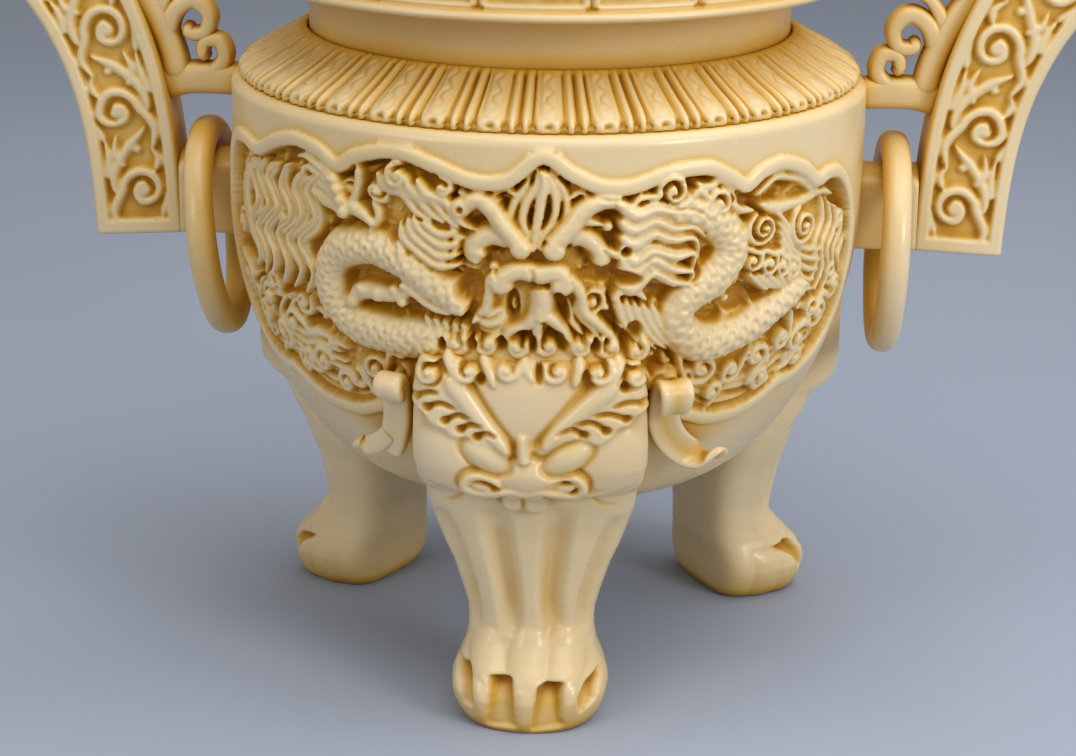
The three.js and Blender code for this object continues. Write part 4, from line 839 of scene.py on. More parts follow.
def left_side(r):
    """The left dragon, its locks of hair and the clouds about it."""
    # Masses that the strands lie on
    for points, width, top in [([(-58, 98), (-52, 90), (-48, 82)], 22, -1.4),
                               ([(-30, 101), (-20, 98), (-14, 92)], 12, -0.9),
                               ([(-66, 70), (-50, 67), (-26, 66)], 12, -1.2)]:
        r.ridge(points, width, top, base=GROUND, ends=(0.3, 0.3), power=0.35)
    coil = [(-13.0, 74.6), (-20, 74.0), (-28, 73.8), (-34.5, 75.2), (-38.8, 79.4), (-39.2, 84.4),
            (-36.2, 88.4), (-30.6, 90.2), (-24.6, 89.0), (-19.4, 86.2), (-14.4, 83.4), (-11.0, 80.2)]
    scaled_band(r, coil, 9.0, 1.9, size=2.5, depth=1.25, taper=(0.95, 0.85))
    for k in range(6):
        u = -33.5 + 2.1 * k
        r.ridge([(u, 92.6), (u + 0.5, 91.0), (u + 0.2, 89.6)], (1.5, 1.4), (0.9, 1.9), ends=(0.3, 0.3))
    r.pit(-28.4, 82.4, 7.4, 4.2, -3.9, angle=-5)
    limb = [(-34.6, 80.2), (-31.2, 81.8), (-26.0, 82.2), (-21.6, 83.2)]
    r.ridge(limb, (3.6, 3.2), (0.6, 0.8), ends=(0.12, 0.1))
    for u, v, size in [(-34.0, 79.8, 1.5), (-31.4, 82.4, 1.2), (-28.2, 82.0, 1.6), (-25.0, 83.4, 1.2),
                       (-23.2, 81.4, 1.1)]:
        r.dome(u, v, size, size, 1.1)
    for k, (u, v) in enumerate([(-20.4, 86.6), (-17.8, 85.0), (-15.0, 83.6), (-12.6, 81.8)]):
        r.dome(u, v, 1.9, 1.6, 1.9 - 0.1 * k)
    r.ridge([(-24.0, 84.8), (-20.6, 83.4), (-17.4, 81.2), (-13.8, 80.0)], (2.6, 1.8), (1.2, 1.0))
    # Nested crescents above the coil
    for k in range(4):
        d = 1.75 * k
        r.ridge([(-11.4 - 0.4 * k, 89.8 + d), (-15.6, 89.0 + d), (-19.2 + 0.4 * k, 90.2 + d),
                 (-21.9 + 0.8 * k, 93.0 + 0.8 * d), (-23.0 + 1.3 * k, 96.4 + 0.5 * d)], (2.1, 1.5),
                (1.4 - 0.15 * k, 1.2), ends=(0.25, 0.2))
    r.pit(-19.6, 97.6, 1.0, 1.3, -2.6, angle=30)
    # Long locks that come down from the frame
    for k in range(4):
        x, y = -27.4 + 2.6 * k, 104.4 - 0.2 * k
        r.ridge([(x, y), (x + 1.4, y - 2.6), (x + 4.8, y - 3.8), (x + 7.2, y - 6.4), (x + 10.4, y - 8.2)],
                (2.9, 1.6), (1.0 + 0.15 * k, 0.9), ends=(0.2, 0.35))
    r.curl(-23.6, 103.4, 2.4, 1.2, 60, 1.6, 1.2, hand=1)
    r.curl(-27.6, 100.4, 2.0, 1.2, 0, 1.5, 0.6, hand=-1)
    r.curl(-15.2, 102.4, 1.9, 1.1, 120, 1.5, 0.8, hand=-1)
    r.dome(-11.9, 101.8, 1.1, 0.9, 0.3)
    r.ridge([(-14.2, 99.6), (-13.4, 96.6), (-12.6, 93.4), (-13.6, 90.6)], (2.0, 1.5), (0.8, 0.5))
    r.ridge([(-28.6, 98.6), (-27.8, 95.4), (-29.6, 93.2)], (2.2, 1.6), (0.8, 0.6))
    r.ridge([(-31.4, 105.0), (-31.8, 101.0), (-33.2, 97.0), (-36.0, 94.2)], (2.6, 1.8), (0.8, 0.7))
    # Claw at the upper left
    for k in range(4):
        y = 103.2 - 1.9 * k
        r.ridge([(-47.0 + 0.9 * k, y + 0.4), (-43.4 + 0.5 * k, y + 0.9), (-39.6 + 0.4 * k, y - 0.2),
                 (-36.6 + 0.8 * k, y - 1.9)], (1.8, 2.6), (0.6, 1.5), ends=(0.35, 0.1))
        r.dome(-36.8 + 0.8 * k, y - 1.8, 1.4, 1.3, 1.9)
    r.ridge([(-43.6, 99.0), (-38.0, 96.6), (-32.0, 96.4), (-28.2, 94.2)], (2.8, 2.8), (1.0, 1.3))
    r.pit(-37.6, 94.6, 2.6, 1.1, -3.2, angle=-14)
    # Wavy strands that fall to the left of the coil
    seeds = np.random.default_rng(31)
    for k in range(6):
        x = -66.0 + 4.0 * k
        sway = seeds.uniform(-0.8, 0.8, 6)
        lock = np.array([(x + 5.6, 102.0 - 0.3 * abs(k - 3)), (x + 2.2, 98), (x + 4.6, 93), (x + 0.8, 88),
                         (x + 3.2, 83), (x + 0.6, 78.6)]) + np.column_stack([sway, 0 * sway])
        top = 0.5 + 0.15 * k
        r.ridge(lock, (4.6, 2.6), (top, top - 0.5), ends=(0.2, 0.3))
        for shift in (-0.75, 0.75):
            r.groove(lock + [shift, 0.2], (0.9, 0.6), 0.7, ends=(0.2, 0.3))
    for k in range(5):
        d = 1.6 * k
        r.ridge([(-63.0 - d * 0.7, 99.0), (-66.6 - d * 0.6, 95.0), (-67.0 - d * 0.6, 90.0),
                 (-64.4 - d * 0.5, 85.8), (-60.0, 83.4 - d * 0.5)], (1.8, 1.4), (0.2 - 0.12 * k, -0.3))
    # Claw and clouds below the coil
    for k in range(4):
        y = 70.4 - 1.9 * k
        r.ridge([(-62.0, y - 1.6), (-56.0, y + 0.8), (-50.0, y - 0.4), (-44.5, y + 1.0),
                 (-40.0 + 1.2 * k, y + 0.2)],
                (2.0, 2.2), (-0.2, 0.4))
    r.curl(-44.6, 66.0, 3.0, 1.3, 20, 1.8, 0.5, hand=1, tail=[(-36.2, 69.6), (-39.0, 70.4), (-42.0, 69.8)])
    r.curl(-52.0, 63.6, 2.6, 1.2, 60, 1.8, 0.2, hand=1)
    r.curl(-31.2, 67.0, 2.8, 1.2, 0, 1.8, 0.5, hand=1, tail=[(-24.2, 70.0), (-27.0, 70.6)])
    r.curl(-36.6, 63.8, 2.3, 1.1, 90, 1.7, 0.1, hand=-1)
    r.curl(-25.4, 66.6, 2.2, 1.1, 90, 1.7, 0.3, hand=-1)
    for k in range(6):
        x = -74.5 + 3.1 * k
        r.ridge([(x, 70.5 - 0.9 * k), (x + 2.4, 73.4 - 0.9 * k), (x + 5.4, 76.4 - 0.5 * k),
                 (x + 9.2, 78.0 - 0.3 * k)], (2.3, 1.4), (-0.2, -0.4))


def right_side(r):
    """The right dragon, its mane, the swirls beyond it and the clouds about it."""
    for points, width, top in [([(16, 96), (24, 92), (30, 86)], 14, -0.6),
                               ([(44, 94), (56, 90), (66, 84)], 18, -1.2),
                               ([(32, 67), (48, 66), (62, 70)], 11, -1.3)]:
        r.ridge(points, width, top, base=GROUND, ends=(0.3, 0.3), power=0.35)
    coil = [(24.0, 98.6), (30.0, 97.6), (35.4, 94.4), (37.2, 90.0), (35.0, 86.2), (30.4, 83.6), (27.0, 80.4),
            (27.6, 76.2), (32.6, 73.4), (39.2, 73.6), (45.6, 76.0), (51.6, 79.0), (56.0, 81.6)]
    scaled_band(r, coil, 10.6, 1.9, size=2.9, depth=1.35, taper=(0.85, 0.66))
    r.pit(28.2, 88.0, 2.3, 2.6, -3.9, angle=25)
    r.pit(39.6, 80.6, 5.6, 2.3, -3.9, angle=6)
    r.pit(37.4, 82.8, 2.4, 1.4, -3.7, angle=60)
    r.dome(36.2, 81.3, 1.1, 0.9, 0.0)
    # Mane between the horn and the coil
    seeds = np.random.default_rng(41)
    for k in range(6):
        y = 99.6 - 2.5 * k
        sway = seeds.uniform(-0.7, 0.7, 6)
        lock = np.array([(14.2 + 0.3 * k, y + 0.6), (17.6, y - 1.3), (21.2, y + 0.5), (25.0, y - 1.5),
                         (28.8, y - 1.9), (32.0 - 1.1 * k, y - 4.4)]) + np.column_stack([0 * sway, sway])
        r.ridge(lock, (3.6, 1.7), (1.9 - 0.1 * k, 1.5 - 0.1 * k), ends=(0.15, 0.4))
        r.groove(lock[1:] + [0.3, 0.5], (0.9, 0.5), 0.6, ends=(0.25, 0.3))
    r.ridge([(12.2, 92.6), (15.4, 91.2), (18.6, 92.4), (22.4, 90.6), (25.6, 87.4)], (2.4, 1.5), (1.3, 0.8))
    r.ridge([(16.0, 89.6), (19.6, 89.8), (22.8, 87.4), (25.2, 84.8)], (2.4, 1.5), (1.1, 0.7))
    r.pit(16.2, 91.9, 0.9, 0.8, -2.4)
    # Clouds along the top
    r.curl(24.6, 102.2, 2.9, 1.4, 190, 1.7, 1.1, hand=-1, tail=[(16.4, 99.0), (18.4, 101.4)])
    r.curl(33.6, 99.4, 2.5, 1.3, 160, 1.6, 1.0, hand=-1, tail=[(27.4, 100.2), (29.4, 102.0)])
    r.ridge([(28.6, 103.2), (31.4, 102.4), (33.4, 103.2), (36.0, 101.6), (37.6, 99.0)], (2.0, 1.5),
            (0.9, 0.5))
    r.ridge([(36.0, 99.2), (38.6, 97.6), (41.4, 97.2)], (2.2, 1.6), (0.9, 0.6))
    # Sheltering leaf above the swirls
    r.ridge([(41.0, 100.0), (46.6, 102.0), (52.4, 100.8), (58.0, 97.6), (64.6, 95.6)], (2.4, 1.5),
            (0.7, 0.2))
    r.ridge([(42.4, 98.2), (47.6, 96.2), (54.0, 96.2), (60.6, 97.0), (65.0, 95.4)], (4.2, 1.5), (0.2, 0.0))
    r.groove([(45.6, 99.0), (49.0, 97.4), (54.4, 97.2)], 0.9, 0.6)
    r.pit(47.8, 98.7, 1.2, 0.6, -2.8)
    for u, v, size in [(43.4, 93.4, 3.4), (54.6, 91.9, 3.5)]:
        r.curl(u, v, size, 1.9, 100, 1.4, 0.5, hand=1)
    # Strands between and below the swirls
    for k in range(5):
        d = 1.9 * k
        r.ridge([(46.8 + 0.4 * k, 95.8 - d), (49.6, 93.2 - d), (52.0 + 0.4 * k, 90.2 - d), (56.6, 87.6 - d),
                 (62.4, 85.6 - d)], (2.0, 1.4), (0.3, -0.1))
    for k in range(4):
        r.curl(41.8 + 3.6 * k, 87.4 - 1.0 * k, 2.1, 1.2, 40, 1.5, 0.6 - 0.12 * k, hand=-1,
               tail=[(39.6 + 3.6 * k, 90.6 - k)])
    for k in range(5):
        r.ridge([(40.6 + 2.4 * k, 85.2 - 0.3 * k), (43.6 + 2.4 * k, 83.2 - 0.6 * k),
                 (46.4 + 2.4 * k, 81.2 - 0.3 * k)],
                (2.0, 1.3), (0.8, 0.1))
    for k in range(5):
        x = 60.0 + 2.9 * k
        r.ridge([(x, 96.0 - 1.2 * k), (x + 1.6, 91.6 - k), (x - 0.6, 87.4 - k), (x + 1.0, 82.6 - k),
                 (x - 1.4, 78.0 - k)], (2.3, 1.5), (0.0, -0.3))


def clouds(r):
    """Low scrolls in the places that the dragons leave free."""
    seeds = np.random.default_rng(3)
    for u, v, size in [(-70, 74, 3.2), (-66, 67, 2.8), (-58, 78, 3.0), (-73, 86, 2.6), (-48, 76, 2.6),
                       (-46, 88, 2.4), (62, 74, 3.0), (68, 80, 2.6), (69, 90, 2.6), (58, 65.5, 2.6),
                       (50, 67, 2.4), (30, 67, 2.8),
                       (25, 66, 2.2), (-52, 92, 2.4), (-34, 100, 2.2), (46, 70.5, 2.2)]:
        hand = 1 if seeds.uniform() < 0.5 else -1
        r.curl(u, v, size, 1.5, seeds.uniform(0, 360), 1.7, -0.4, hand=hand)


PANEL_ROW = 0.27  # between the rows and columns of the bowl's mesh where it is carved
PANEL_COLUMN = 0.26
PANEL_HALF = 79.3


def bowl():
    """Front and back halves, each with a carved panel."""
    panel = dragon_panel()
    stain_and_shade = panel.stain_and_shade(reach=1.3, gain=0.8, level=0.1, slope=0.25)
    heights = np.concatenate([np.linspace(BASE_Z, 53.6, 12), np.arange(54, 109, PANEL_ROW)])
    side = [(float(belly_radius(z)) if z < BAND_BOTTOM_Z else BELLY_RADIUS, z) for z in heights]
    side = np.array(side + [(BELLY_RADIUS, 109.6), (BELLY_RADIUS, 110.2), (59.85, 110.8), (59.4, 111.4),
                            (58.9, 111.8), (58.4, BAND_TOP_Z)])
    inner = belly(-BOWL_WALL, 12)[::-1]
    bottom = np.array([(0, BASE_Z), (10, BASE_Z), (20, BASE_Z), (28, BASE_Z), (30.8, BASE_Z)], float)
    mouth_radius = BELLY_RADIUS - BOWL_WALL
    mouth = np.array([(57.5, BAND_TOP_Z), (55.5, BAND_TOP_Z), (mouth_radius + 0.5, BAND_TOP_Z),
                      (mouth_radius, BAND_TOP_Z - 0.5)])
    inside = np.vstack([inner, [(20, BASE_Z + BOWL_WALL), (0, BASE_Z + BOWL_WALL)]])
    profile = np.vstack([bottom, side, mouth, inside])
    quarter_turn = math.pi * BELLY_RADIUS / 2
    dense = np.arange(0.1 - PANEL_HALF, PANEL_HALF, PANEL_COLUMN)
    coarse = np.linspace(PANEL_HALF + 0.3, quarter_turn, 15)
    u = np.concatenate([-coarse[::-1], dense, coarse])
    lift = np.zeros((len(profile), len(u)))
    wax_and_shade = np.zeros_like(lift)
    rows = slice(len(bottom), len(bottom) + len(side))
    gu, gv = np.meshgrid(u, side[:, 1])
    held = (np.abs(gu) < 81) & (gv > 53) & (gv < 110)
    lift[rows] = np.where(held, np.minimum(sample(panel, panel.h, gu, gv), PANEL_PROUD), 0)
    wax_and_shade[rows] = np.where(held, sample(panel, stain_and_shade, gu, gv), 0)
    # Painted shade: a little more amber low on the belly, where it turns under
    wax_and_shade[rows] += 0.16 * np.clip((64 - gv) / 8, 0, 1)
    for name, direction in (("bowl_front", -math.pi / 2), ("bowl_back", math.pi / 2)):
        points = revolve(profile, u / BELLY_RADIUS + direction, lift, closed=False)
        mesh_object(name, "vessel", "bowl", CARVED, [(points, wax_and_shade, False, False)], cap=True)


# Collar, neck, lid and finial

REED_UNITS = 36
COLLAR_BOTTOM = 112.3
COLLAR_FOOT = 112.02  # of the slope's outer edge, down on the bowl
COLLAR_TOP = 120.7


def collar_unit():
    """One tongue and two reeds: u across at the foot, v up the slope."""
    width = 2 * math.pi * BELLY_RADIUS / REED_UNITS
    r = Relief(0, width, 0, 18, ground=-1.5)
    middle = 2.9
    r.ridge([(middle, -3), (middle, 9), (middle, 24)], 5.6, 0.15, base=-1.5, ends=(0, 0), power=0.22,
            straight=True)
    for x in (6.9, 9.35):
        r.ridge([(x, -3), (x, 9), (x, 24)], 2.2, 0.25, base=-1.5, ends=(0, 0), power=0.5, straight=True)
    for side in (-1, 1):
        r.groove([(middle + side * 1.7, 20), (middle + side * 1.7, 8), (middle + side * 1.5, 3.6),
                  (middle, 2.4)],
                 0.6, 0.4)
    squiggle = [(middle + 0.75 * math.sin(1.9 * k), 4.6 + 1.3 * k) for k in range(11)]
    r.groove(squiggle, 0.65, 0.45)
    r.pit(middle, 0.9, 0.9, 1.0, -1.1)
    for x in (5.6, 8.1, 10.4, -0.07):
        r.pit(x, 0.6, 0.7, 2.6, -1.9)
    r.smooth(1)
    return r, width


def collar():
    """The reeded slope between the bowl and the neck."""
    unit, width = collar_unit()
    stain_and_shade = unit.stain_and_shade(reach=0.9, gain=0.4, level=-0.2, slope=0.14)
    corners = [(40.5, 108.3, 0.3), (52.7, 108.3, 0.3), (52.7, COLLAR_BOTTOM, 0.2), (57.8, COLLAR_FOOT, 0.3)]
    slope = spline([(58.2, 112.3), (58.4, 113.0), (58.1, 113.8), (57.2, 114.5), (55.4, 115.6), (53.2, 116.7),
                    (51.0, 117.9), (48.9, 119.1), (47.2, 120.1), (46.1, 120.6)], 0.34)
    rest = [(45.7, COLLAR_TOP, 0.2), (45.4, 119.6, 0.2), (45.6, 116.2, 0.2), (40.5, 116.2, 0.3)]
    low = rounded(corners, closed=False)
    high = rounded(rest, closed=False)
    profile = np.vstack([low, slope, high])
    angles = full_turn(REED_UNITS * 26)
    along = length_along(slope)
    gu, gv = np.meshgrid((angles * BELLY_RADIUS) % width, along)
    lift = np.zeros((len(profile), len(angles)))
    wax_and_shade = np.full_like(lift, 0.15)
    rows = slice(len(low), len(low) + len(slope))
    fade = np.clip((along[-1] - along) / 1.0, 0.25, 1)[:, None]
    lift[rows] = sample(unit, unit.h, gu, gv) * fade
    near_neck = np.clip(1 - (along[-1] - along) / 2.5, 0, 1)[:, None]
    wax_and_shade[rows] = sample(unit, stain_and_shade, gu, gv) + 0.25 * near_neck
    points = revolve(profile, angles, lift)
    mesh_object("collar", "vessel", "shoulder_ring", CARVED, [(points, wax_and_shade, True, True)])


FRET_PANELS = 18
RIM_UNDERSIDE = 130.3
RIM_TOP = 142.9
RIM_RADIUS = 57.2
BAND_RADIUS = 55.6


def fret_unit():
    """One framed panel of the rim's band, with a squared meander."""
    width = 2 * math.pi * BAND_RADIUS / FRET_PANELS
    r = Relief(0, width, 0, 9, ground=-0.9)

    def bar(points, size=1.1):
        for a, b in zip(points, points[1:]):
            middle = ((a[0] + b[0]) / 2, (a[1] + b[1]) / 2)
            r.ridge([a, middle, b], size, 0.0, base=-0.9, ends=(0, 0), power=0.2, straight=True)

    left, right, low, high = 0.9, width - 0.9, 0.7, 8.3
    bar([(left, low), (right, low), (right, high), (left, high), (left, low)], 1.3)
    bar([(4.0, 3.2), (9.0, 3.2), (9.0, 5.8), (5.6, 5.8), (5.6, 4.6)])
    bar([(width - 4.0, 5.8), (width - 9.0, 5.8), (width - 9.0, 3.2), (width - 5.6, 3.2), (width - 5.6, 4.4)])
    bar([(4.0, 3.2), (4.0, 6.6)])
    bar([(width - 4.0, 5.8), (width - 4.0, 2.4)])
    r.smooth(1)
    return r, width


def neck():
    """The plain neck, and the rim's overhanging fretted band."""
    unit, width = fret_unit()
    stain_and_shade = unit.stain_and_shade(reach=0.8, gain=0.6, level=-0.1, slope=0.3)
    low = rounded([(40.5, 116.5, 0.4), (45.3, 116.5, 0.3), (45.3, 125.8, 3), (46.2, 128.6, 2.4),
                   (49.3, RIM_UNDERSIDE, 2), (56.3, 130.5, 0.8), (RIM_RADIUS, 131.2, 0.6),
                   (56.8, 132.1, 0.5),
                   (BAND_RADIUS, 132.4, 0.2)], closed=False, spacing=0.8)
    band = np.column_stack([np.full(27, BAND_RADIUS), np.linspace(132.5, 140.7, 27)])
    high = rounded([(BAND_RADIUS, 140.9, 0.2), (56.7, 141.1, 0.5), (RIM_RADIUS, 142, 0.6),
                    (56.5, RIM_TOP, 0.6), (49.7, RIM_TOP, 0.5), (49.7, 140.9, 0.3),
                    (40.5, 140.9, 0.4)], closed=False, spacing=0.8)
    profile = np.vstack([low, band, high])
    angles = full_turn(FRET_PANELS * 48)
    gu, gv = np.meshgrid((angles * BAND_RADIUS) % width, band[:, 1] - 132.2)
    lift = np.zeros((len(profile), len(angles)))
    wax_and_shade = np.zeros_like(lift)
    rows = slice(len(low), len(low) + len(band))
    lift[rows] = sample(unit, unit.h, gu, gv)
    wax_and_shade[rows] = sample(unit, stain_and_shade, gu, gv)
    # Painted shadow of the rim: amber over the neck under it, most near the collar
    near_joint = np.clip(1 - (low[:, 1] - COLLAR_TOP) / 3, 0, 1)[:, None]
    wax_and_shade[:len(low)] = np.where(low[:, :1] > 45.2, 0.14 + 0.4 * near_joint * (low[:, 1:] > 119), 0)
    points = revolve(profile, angles, lift)
    mesh_object("neck", "vessel", "neck_ring", SMOOTH, [(points, wax_and_shade, True, True)])


LID_BOTTOM = 141.2
LID_RADIUS = 49.4
DOME_BOTTOM = 150.4
DOME_RADIUS = 40.9
DOME_WALL = 5
CROWN_RADIUS = 12
CROWN_Z = 173.4
SMOKE_HOLES = 6
SMOKE_HOLE_SHARE = 0.42  # of the dome's quarter turn, up from its foot
SMOKE_HOLE_TILT = 42


def dome_line(turn, inset=0):
    """Radius and height of the dome at an angle up from its foot, inset from its surface."""
    return (CROWN_RADIUS + (DOME_RADIUS - CROWN_RADIUS) * np.cos(turn) - inset * np.cos(turn),
            DOME_BOTTOM + (CROWN_Z - DOME_BOTTOM) * np.sin(turn) ** 0.9 - inset * np.sin(turn))


def lid_relief():
    """Clouds and waves for the dome: u round its foot, v up its side."""
    width = 2 * math.pi * DOME_RADIUS / SMOKE_HOLES
    r = Relief(-4, width + 4, -1, 42, ground=-1.8)
    for middle in (-width / 2, width / 2, width * 1.5):
        for hand in (-1, 1):
            def mirrored(*points):
                return [(middle + hand * across, up) for across, up in points]

            for place, size, turns, start, thick, wind, tail in (
                    ((8.5, 6.0), 3.8, 1.6, 90, 2.0, hand, ((19, 3.0), (14, 9.4))),
                    ((15.5, 14.0), 3.4, 1.5, 200 if hand > 0 else -20, 1.9, hand, ((20.5, 23), (20.5, 17))),
                    ((6.0, 24.5), 3.0, 1.4, -90, 1.8, -hand, ((12.5, 29), (11, 24)))):
                r.curl(*mirrored(place)[0], size, turns, start, thick, 0.0, hand=wind, tail=mirrored(*tail))
            for k in range(4):
                r.ridge(mirrored((10.5 + 2.1 * k, 36 - 1.2 * k), (9.0 + 2.6 * k, 30 - 1.4 * k),
                                 (12.0 + 2.4 * k, 24 - 1.4 * k), (11.0 + 2.4 * k, 19.5 - k)), (1.9, 1.3),
                        (-0.1, -0.3))
            r.ridge(mirrored((2.0, 1.0), (4.0, 2.6), (10.0, 1.4)), 1.7, 0.0)
            r.ridge(mirrored((4.5, 35), (3.6, 30), (1.4, 27)), (2.0, 1.4), 0.0)
        # A raised rim round the smoke hole
        rim = [(middle + 5.4 * math.cos(a), 15.2 + 5.4 * math.sin(a)) for a in np.linspace(0, 2 * math.pi,
                                                                                           17)]
        r.ridge(rim, 1.9, 0.35, ends=(0, 0))
    r.smooth(1)
    return r, width


def lid():
    """A stepped rim, and a carved dome with smoke holes."""
    unit, width = lid_relief()
    stain_and_shade = unit.stain_and_shade(reach=1.2, gain=0.45, level=-0.3, slope=0.14)
    low = rounded([(36.2, 136.2, 0.4), (40.2, 136.2, 0.4), (40.2, LID_BOTTOM, 0.2),
                   (LID_RADIUS, LID_BOTTOM, 0.5), (LID_RADIUS, 144.9, 0.9), (47.4, 145.6, 0.8),
                   (46.4, 146.6, 0.8), (44.6, 147.6, 0.8), (43.4, 150.2, 0.8), (41.6, 150.6, 0.6),
                   (DOME_RADIUS, 151.2, 0.4)], closed=False,
                  spacing=0.8)
    turn = np.linspace(0.03, 0.96, 100) * math.pi / 2
    dome = np.column_stack(dome_line(turn))
    inner = np.column_stack(dome_line(turn[::12], DOME_WALL))[::-1]
    crown_under = CROWN_Z - DOME_WALL
    crown = rounded([(12.4, 172.9, 0.5), (12.2, CROWN_Z, 0.4), (2.5, CROWN_Z, 0.3), (2.5, crown_under, 0.3),
                     (7, crown_under, 0.3)], closed=False)
    end = np.array([(36.2, 145.4), (36.2, 141)])
    profile = np.vstack([low, dome, crown, inner, end])
    angles = full_turn(SMOKE_HOLES * 110)
    along = length_along(dome)
    # The smoke holes sit half a unit off the +X direction
    spacing = 2 * math.pi / SMOKE_HOLES
    u = ((angles % spacing) / spacing) * width
    middle = width / 2
    squeeze = (dome[:, 0] / DOME_RADIUS)[:, None]
    gu = middle + (u[None] - middle) * (0.35 + 0.65 * squeeze)
    gv = along[:, None] + 0 * gu
    lift = np.zeros((len(profile), len(angles)))
    wax_and_shade = np.full_like(lift, 0.05)
    rows = slice(len(low), len(low) + len(dome))
    fade = np.clip(np.minimum(along, along[-1] - along) / 1.5, 0, 1)[:, None]
    lift[rows] = sample(unit, unit.h, gu, gv) * fade - 0.3
    wax_and_shade[rows] = sample(unit, stain_and_shade, gu, gv)
    # Beads round the dome's foot
    ring = np.abs(low[:, 1] - 149) < 1.7
    lift[:len(low)] += ring[:, None] * 0.55 * np.abs(np.sin(angles * 54))[None]
    points = revolve(profile, angles, lift)
    cover = mesh_object("lid_dome", "cover", "lid", CARVED, [(points, wax_and_shade, True, True)])
    open_smoke_holes(cover)


def open_smoke_holes(cover):
    """Cuts the six slanted holes through the dome."""
    radius, height = dome_line(SMOKE_HOLE_SHARE * math.pi / 2, DOME_WALL / 2)
    tilt = math.radians(SMOKE_HOLE_TILT)
    axis = np.array([math.sin(tilt), 0, math.cos(tilt)])
    across = np.array([0, 1.0, 0])
    other = np.cross(axis, across)
    a = full_turn(40)[:, None]
    circle = np.cos(a) * across + np.sin(a) * other
    rows = []
    for along, size in ((-9, 0), (-9, 3.4), (-3, 3.4), (1.2, 3.4), (2.4, 3.9), (9, 3.9), (9, 0)):
        rows.append(np.array([radius, 0, height]) + axis * along + size * circle)
    grids = []
    for k in range(SMOKE_HOLES):
        points = turned(np.array(rows), (k + 0.5) * 360 / SMOKE_HOLES)
        grids.append((points, np.zeros((1, 1)), False, True))
    cutter = mesh_object("smoke_cutter", "cover", None, CARVED, grids)
    hole = cover.modifiers.new("holes", "BOOLEAN")
    hole.operation = "DIFFERENCE"
    hole.object = cutter
    hole.solver = "EXACT"
    bpy.context.view_layer.update()
    graph = bpy.context.evaluated_depsgraph_get()
    result = bpy.data.meshes.new_from_object(cover.evaluated_get(graph))
    cover.modifiers.clear()
    cover.data = result
    bpy.data.objects.remove(cutter)


PETALS = 8


def finial():
    """A lotus bud with two tiers of petals, on a leafy foot."""
    side = spline([(10.4, 174.2), (10.5, 175.6), (9.2, 176.6), (8.2, 178.0), (6.2, 179.6), (5.1, 181),
                   (5.0, 182.2),
                   (5.6, 183.4), (8.2, 185.6), (9.5, 188), (9.9, 190.6), (9.3, 193.6), (7.4, 197),
                   (5.0, 200),
                   (2.6, 202.6), (1.0, 204.1)])
    start = rounded([(2.5, 173.7, 0.2), (9.9, 173.7, 0.5), (10.4, 174.1, 0.3)], closed=False)
    end = np.array([(0, 204.5), (0, 184.0), (2.5, 184.0)])
    profile = np.vstack([start, side, end])
    angles = full_turn(192)
    lift = np.zeros((len(profile), len(angles)))
    wax_and_shade = np.full_like(lift, 0.05)
    z = side[:, 1][:, None]
    rows = slice(len(start), len(start) + len(side))
    total = np.zeros((len(side), len(angles)))
    dark = np.zeros_like(total)
    # Two tiers of petals, each pointed at its top
    for foot, tip, phase, rise in ((183.2, 196.5, 0.0, 0.0), (186, 203.4, 0.5, -0.35)):
        share = np.clip((z - foot) / (tip - foot), 0, 1)
        half = 0.5 * np.sqrt(np.clip(1 - share**2.2, 0, 1))
        place = (angles / (2 * math.pi) * PETALS + phase) % 1 - 0.5
        inside = (np.abs(place)[None] < half) & (z > foot) & (z < tip)
        edge = np.clip((half - np.abs(place)[None]) * 8, 0, 1)
        petal = np.where(inside, rise + 0.35 * edge - 0.5 * (1 - edge), -1.0)
        free = total == 0
        total = np.where(free & (inside | (phase > 0)), petal, total)
        dark = np.maximum(dark, inside * (1 - edge) * 0.6)
    beads = (np.abs(z - 175) < 1) * 0.35 * np.abs(np.sin(angles * 14))[None]
    leaves = (z < 182) * (z > 176.6) * 0.35 * np.abs(np.sin(angles * 6))[None]
    on_bud = np.clip(z - 183, 0, 1) * np.clip((204 - z) / 1.5, 0, 1)
    lift[rows] = np.clip(total, -1.0, 0.4) * on_bud + beads - leaves
    wax_and_shade[rows] = dark + leaves * 0.8
    points = revolve(profile, angles, lift)
    mesh_object("finial_bud", "cover", "finial", CARVED, [(points, wax_and_shade, True, True)])


# Legs and straps

LEG_LEVELS = [
    # height, half width, front, back, squareness
    (0, 11.2, 56.4, 37.2, 0.9), (0.8, 12.2, 57, 36.4, 0.9), (2.2, 13.1, 57.4, 35.6, 0.88),
    (4.2, 14, 57.7, 35.2, 0.86), (6.2, 14.4, 57.8, 35, 0.85), (8.2, 14.2, 57.2, 34.9, 0.87),
    (10.2, 13.4, 55.6, 34.7, 0.9), (12.5, 12.3, 53, 34.3, 0.93),
    (15, 11.7, 50.9, 34.1, 0.95), (17.5, 11.6, 50.2, 34, 0.95), (20, 11.8, 50.3, 33.7, 0.95),
    (24, 12.9, 50.9, 33.2, 0.95), (28.8, 14.4, 51.7, 32.8, 0.95), (33, 16.2, 52.4, 32.9, 0.93),
    (37, 17.6, 53.1, 33, 0.91), (41, 18.7, 54.2, 35.5, 0.89),
    (45.6, 19.2, 55.5, 39.5, 0.88), (46.6, 19.7, 57.6, 41, 0.84), (48.6, 20.2, 59.2, 43, 0.82),
    (52, 20.7, 59.8, 45.3, 0.8), (57, 20.8, 59.9, 47.9, 0.8), (62, 20.6, 59.7, 50, 0.8),
    (66.5, 20, 59.5, 51.7, 0.82), (69.5, 19.3, 59.1, 52.6, 0.84),
    (71.4, 18.8, 58.6, 53, 0.86), (73, 18.2, 57.8, 53.4, 0.86), (LEG_TOP_Z, 17.4, 56.6, 53.8, 0.86),
]

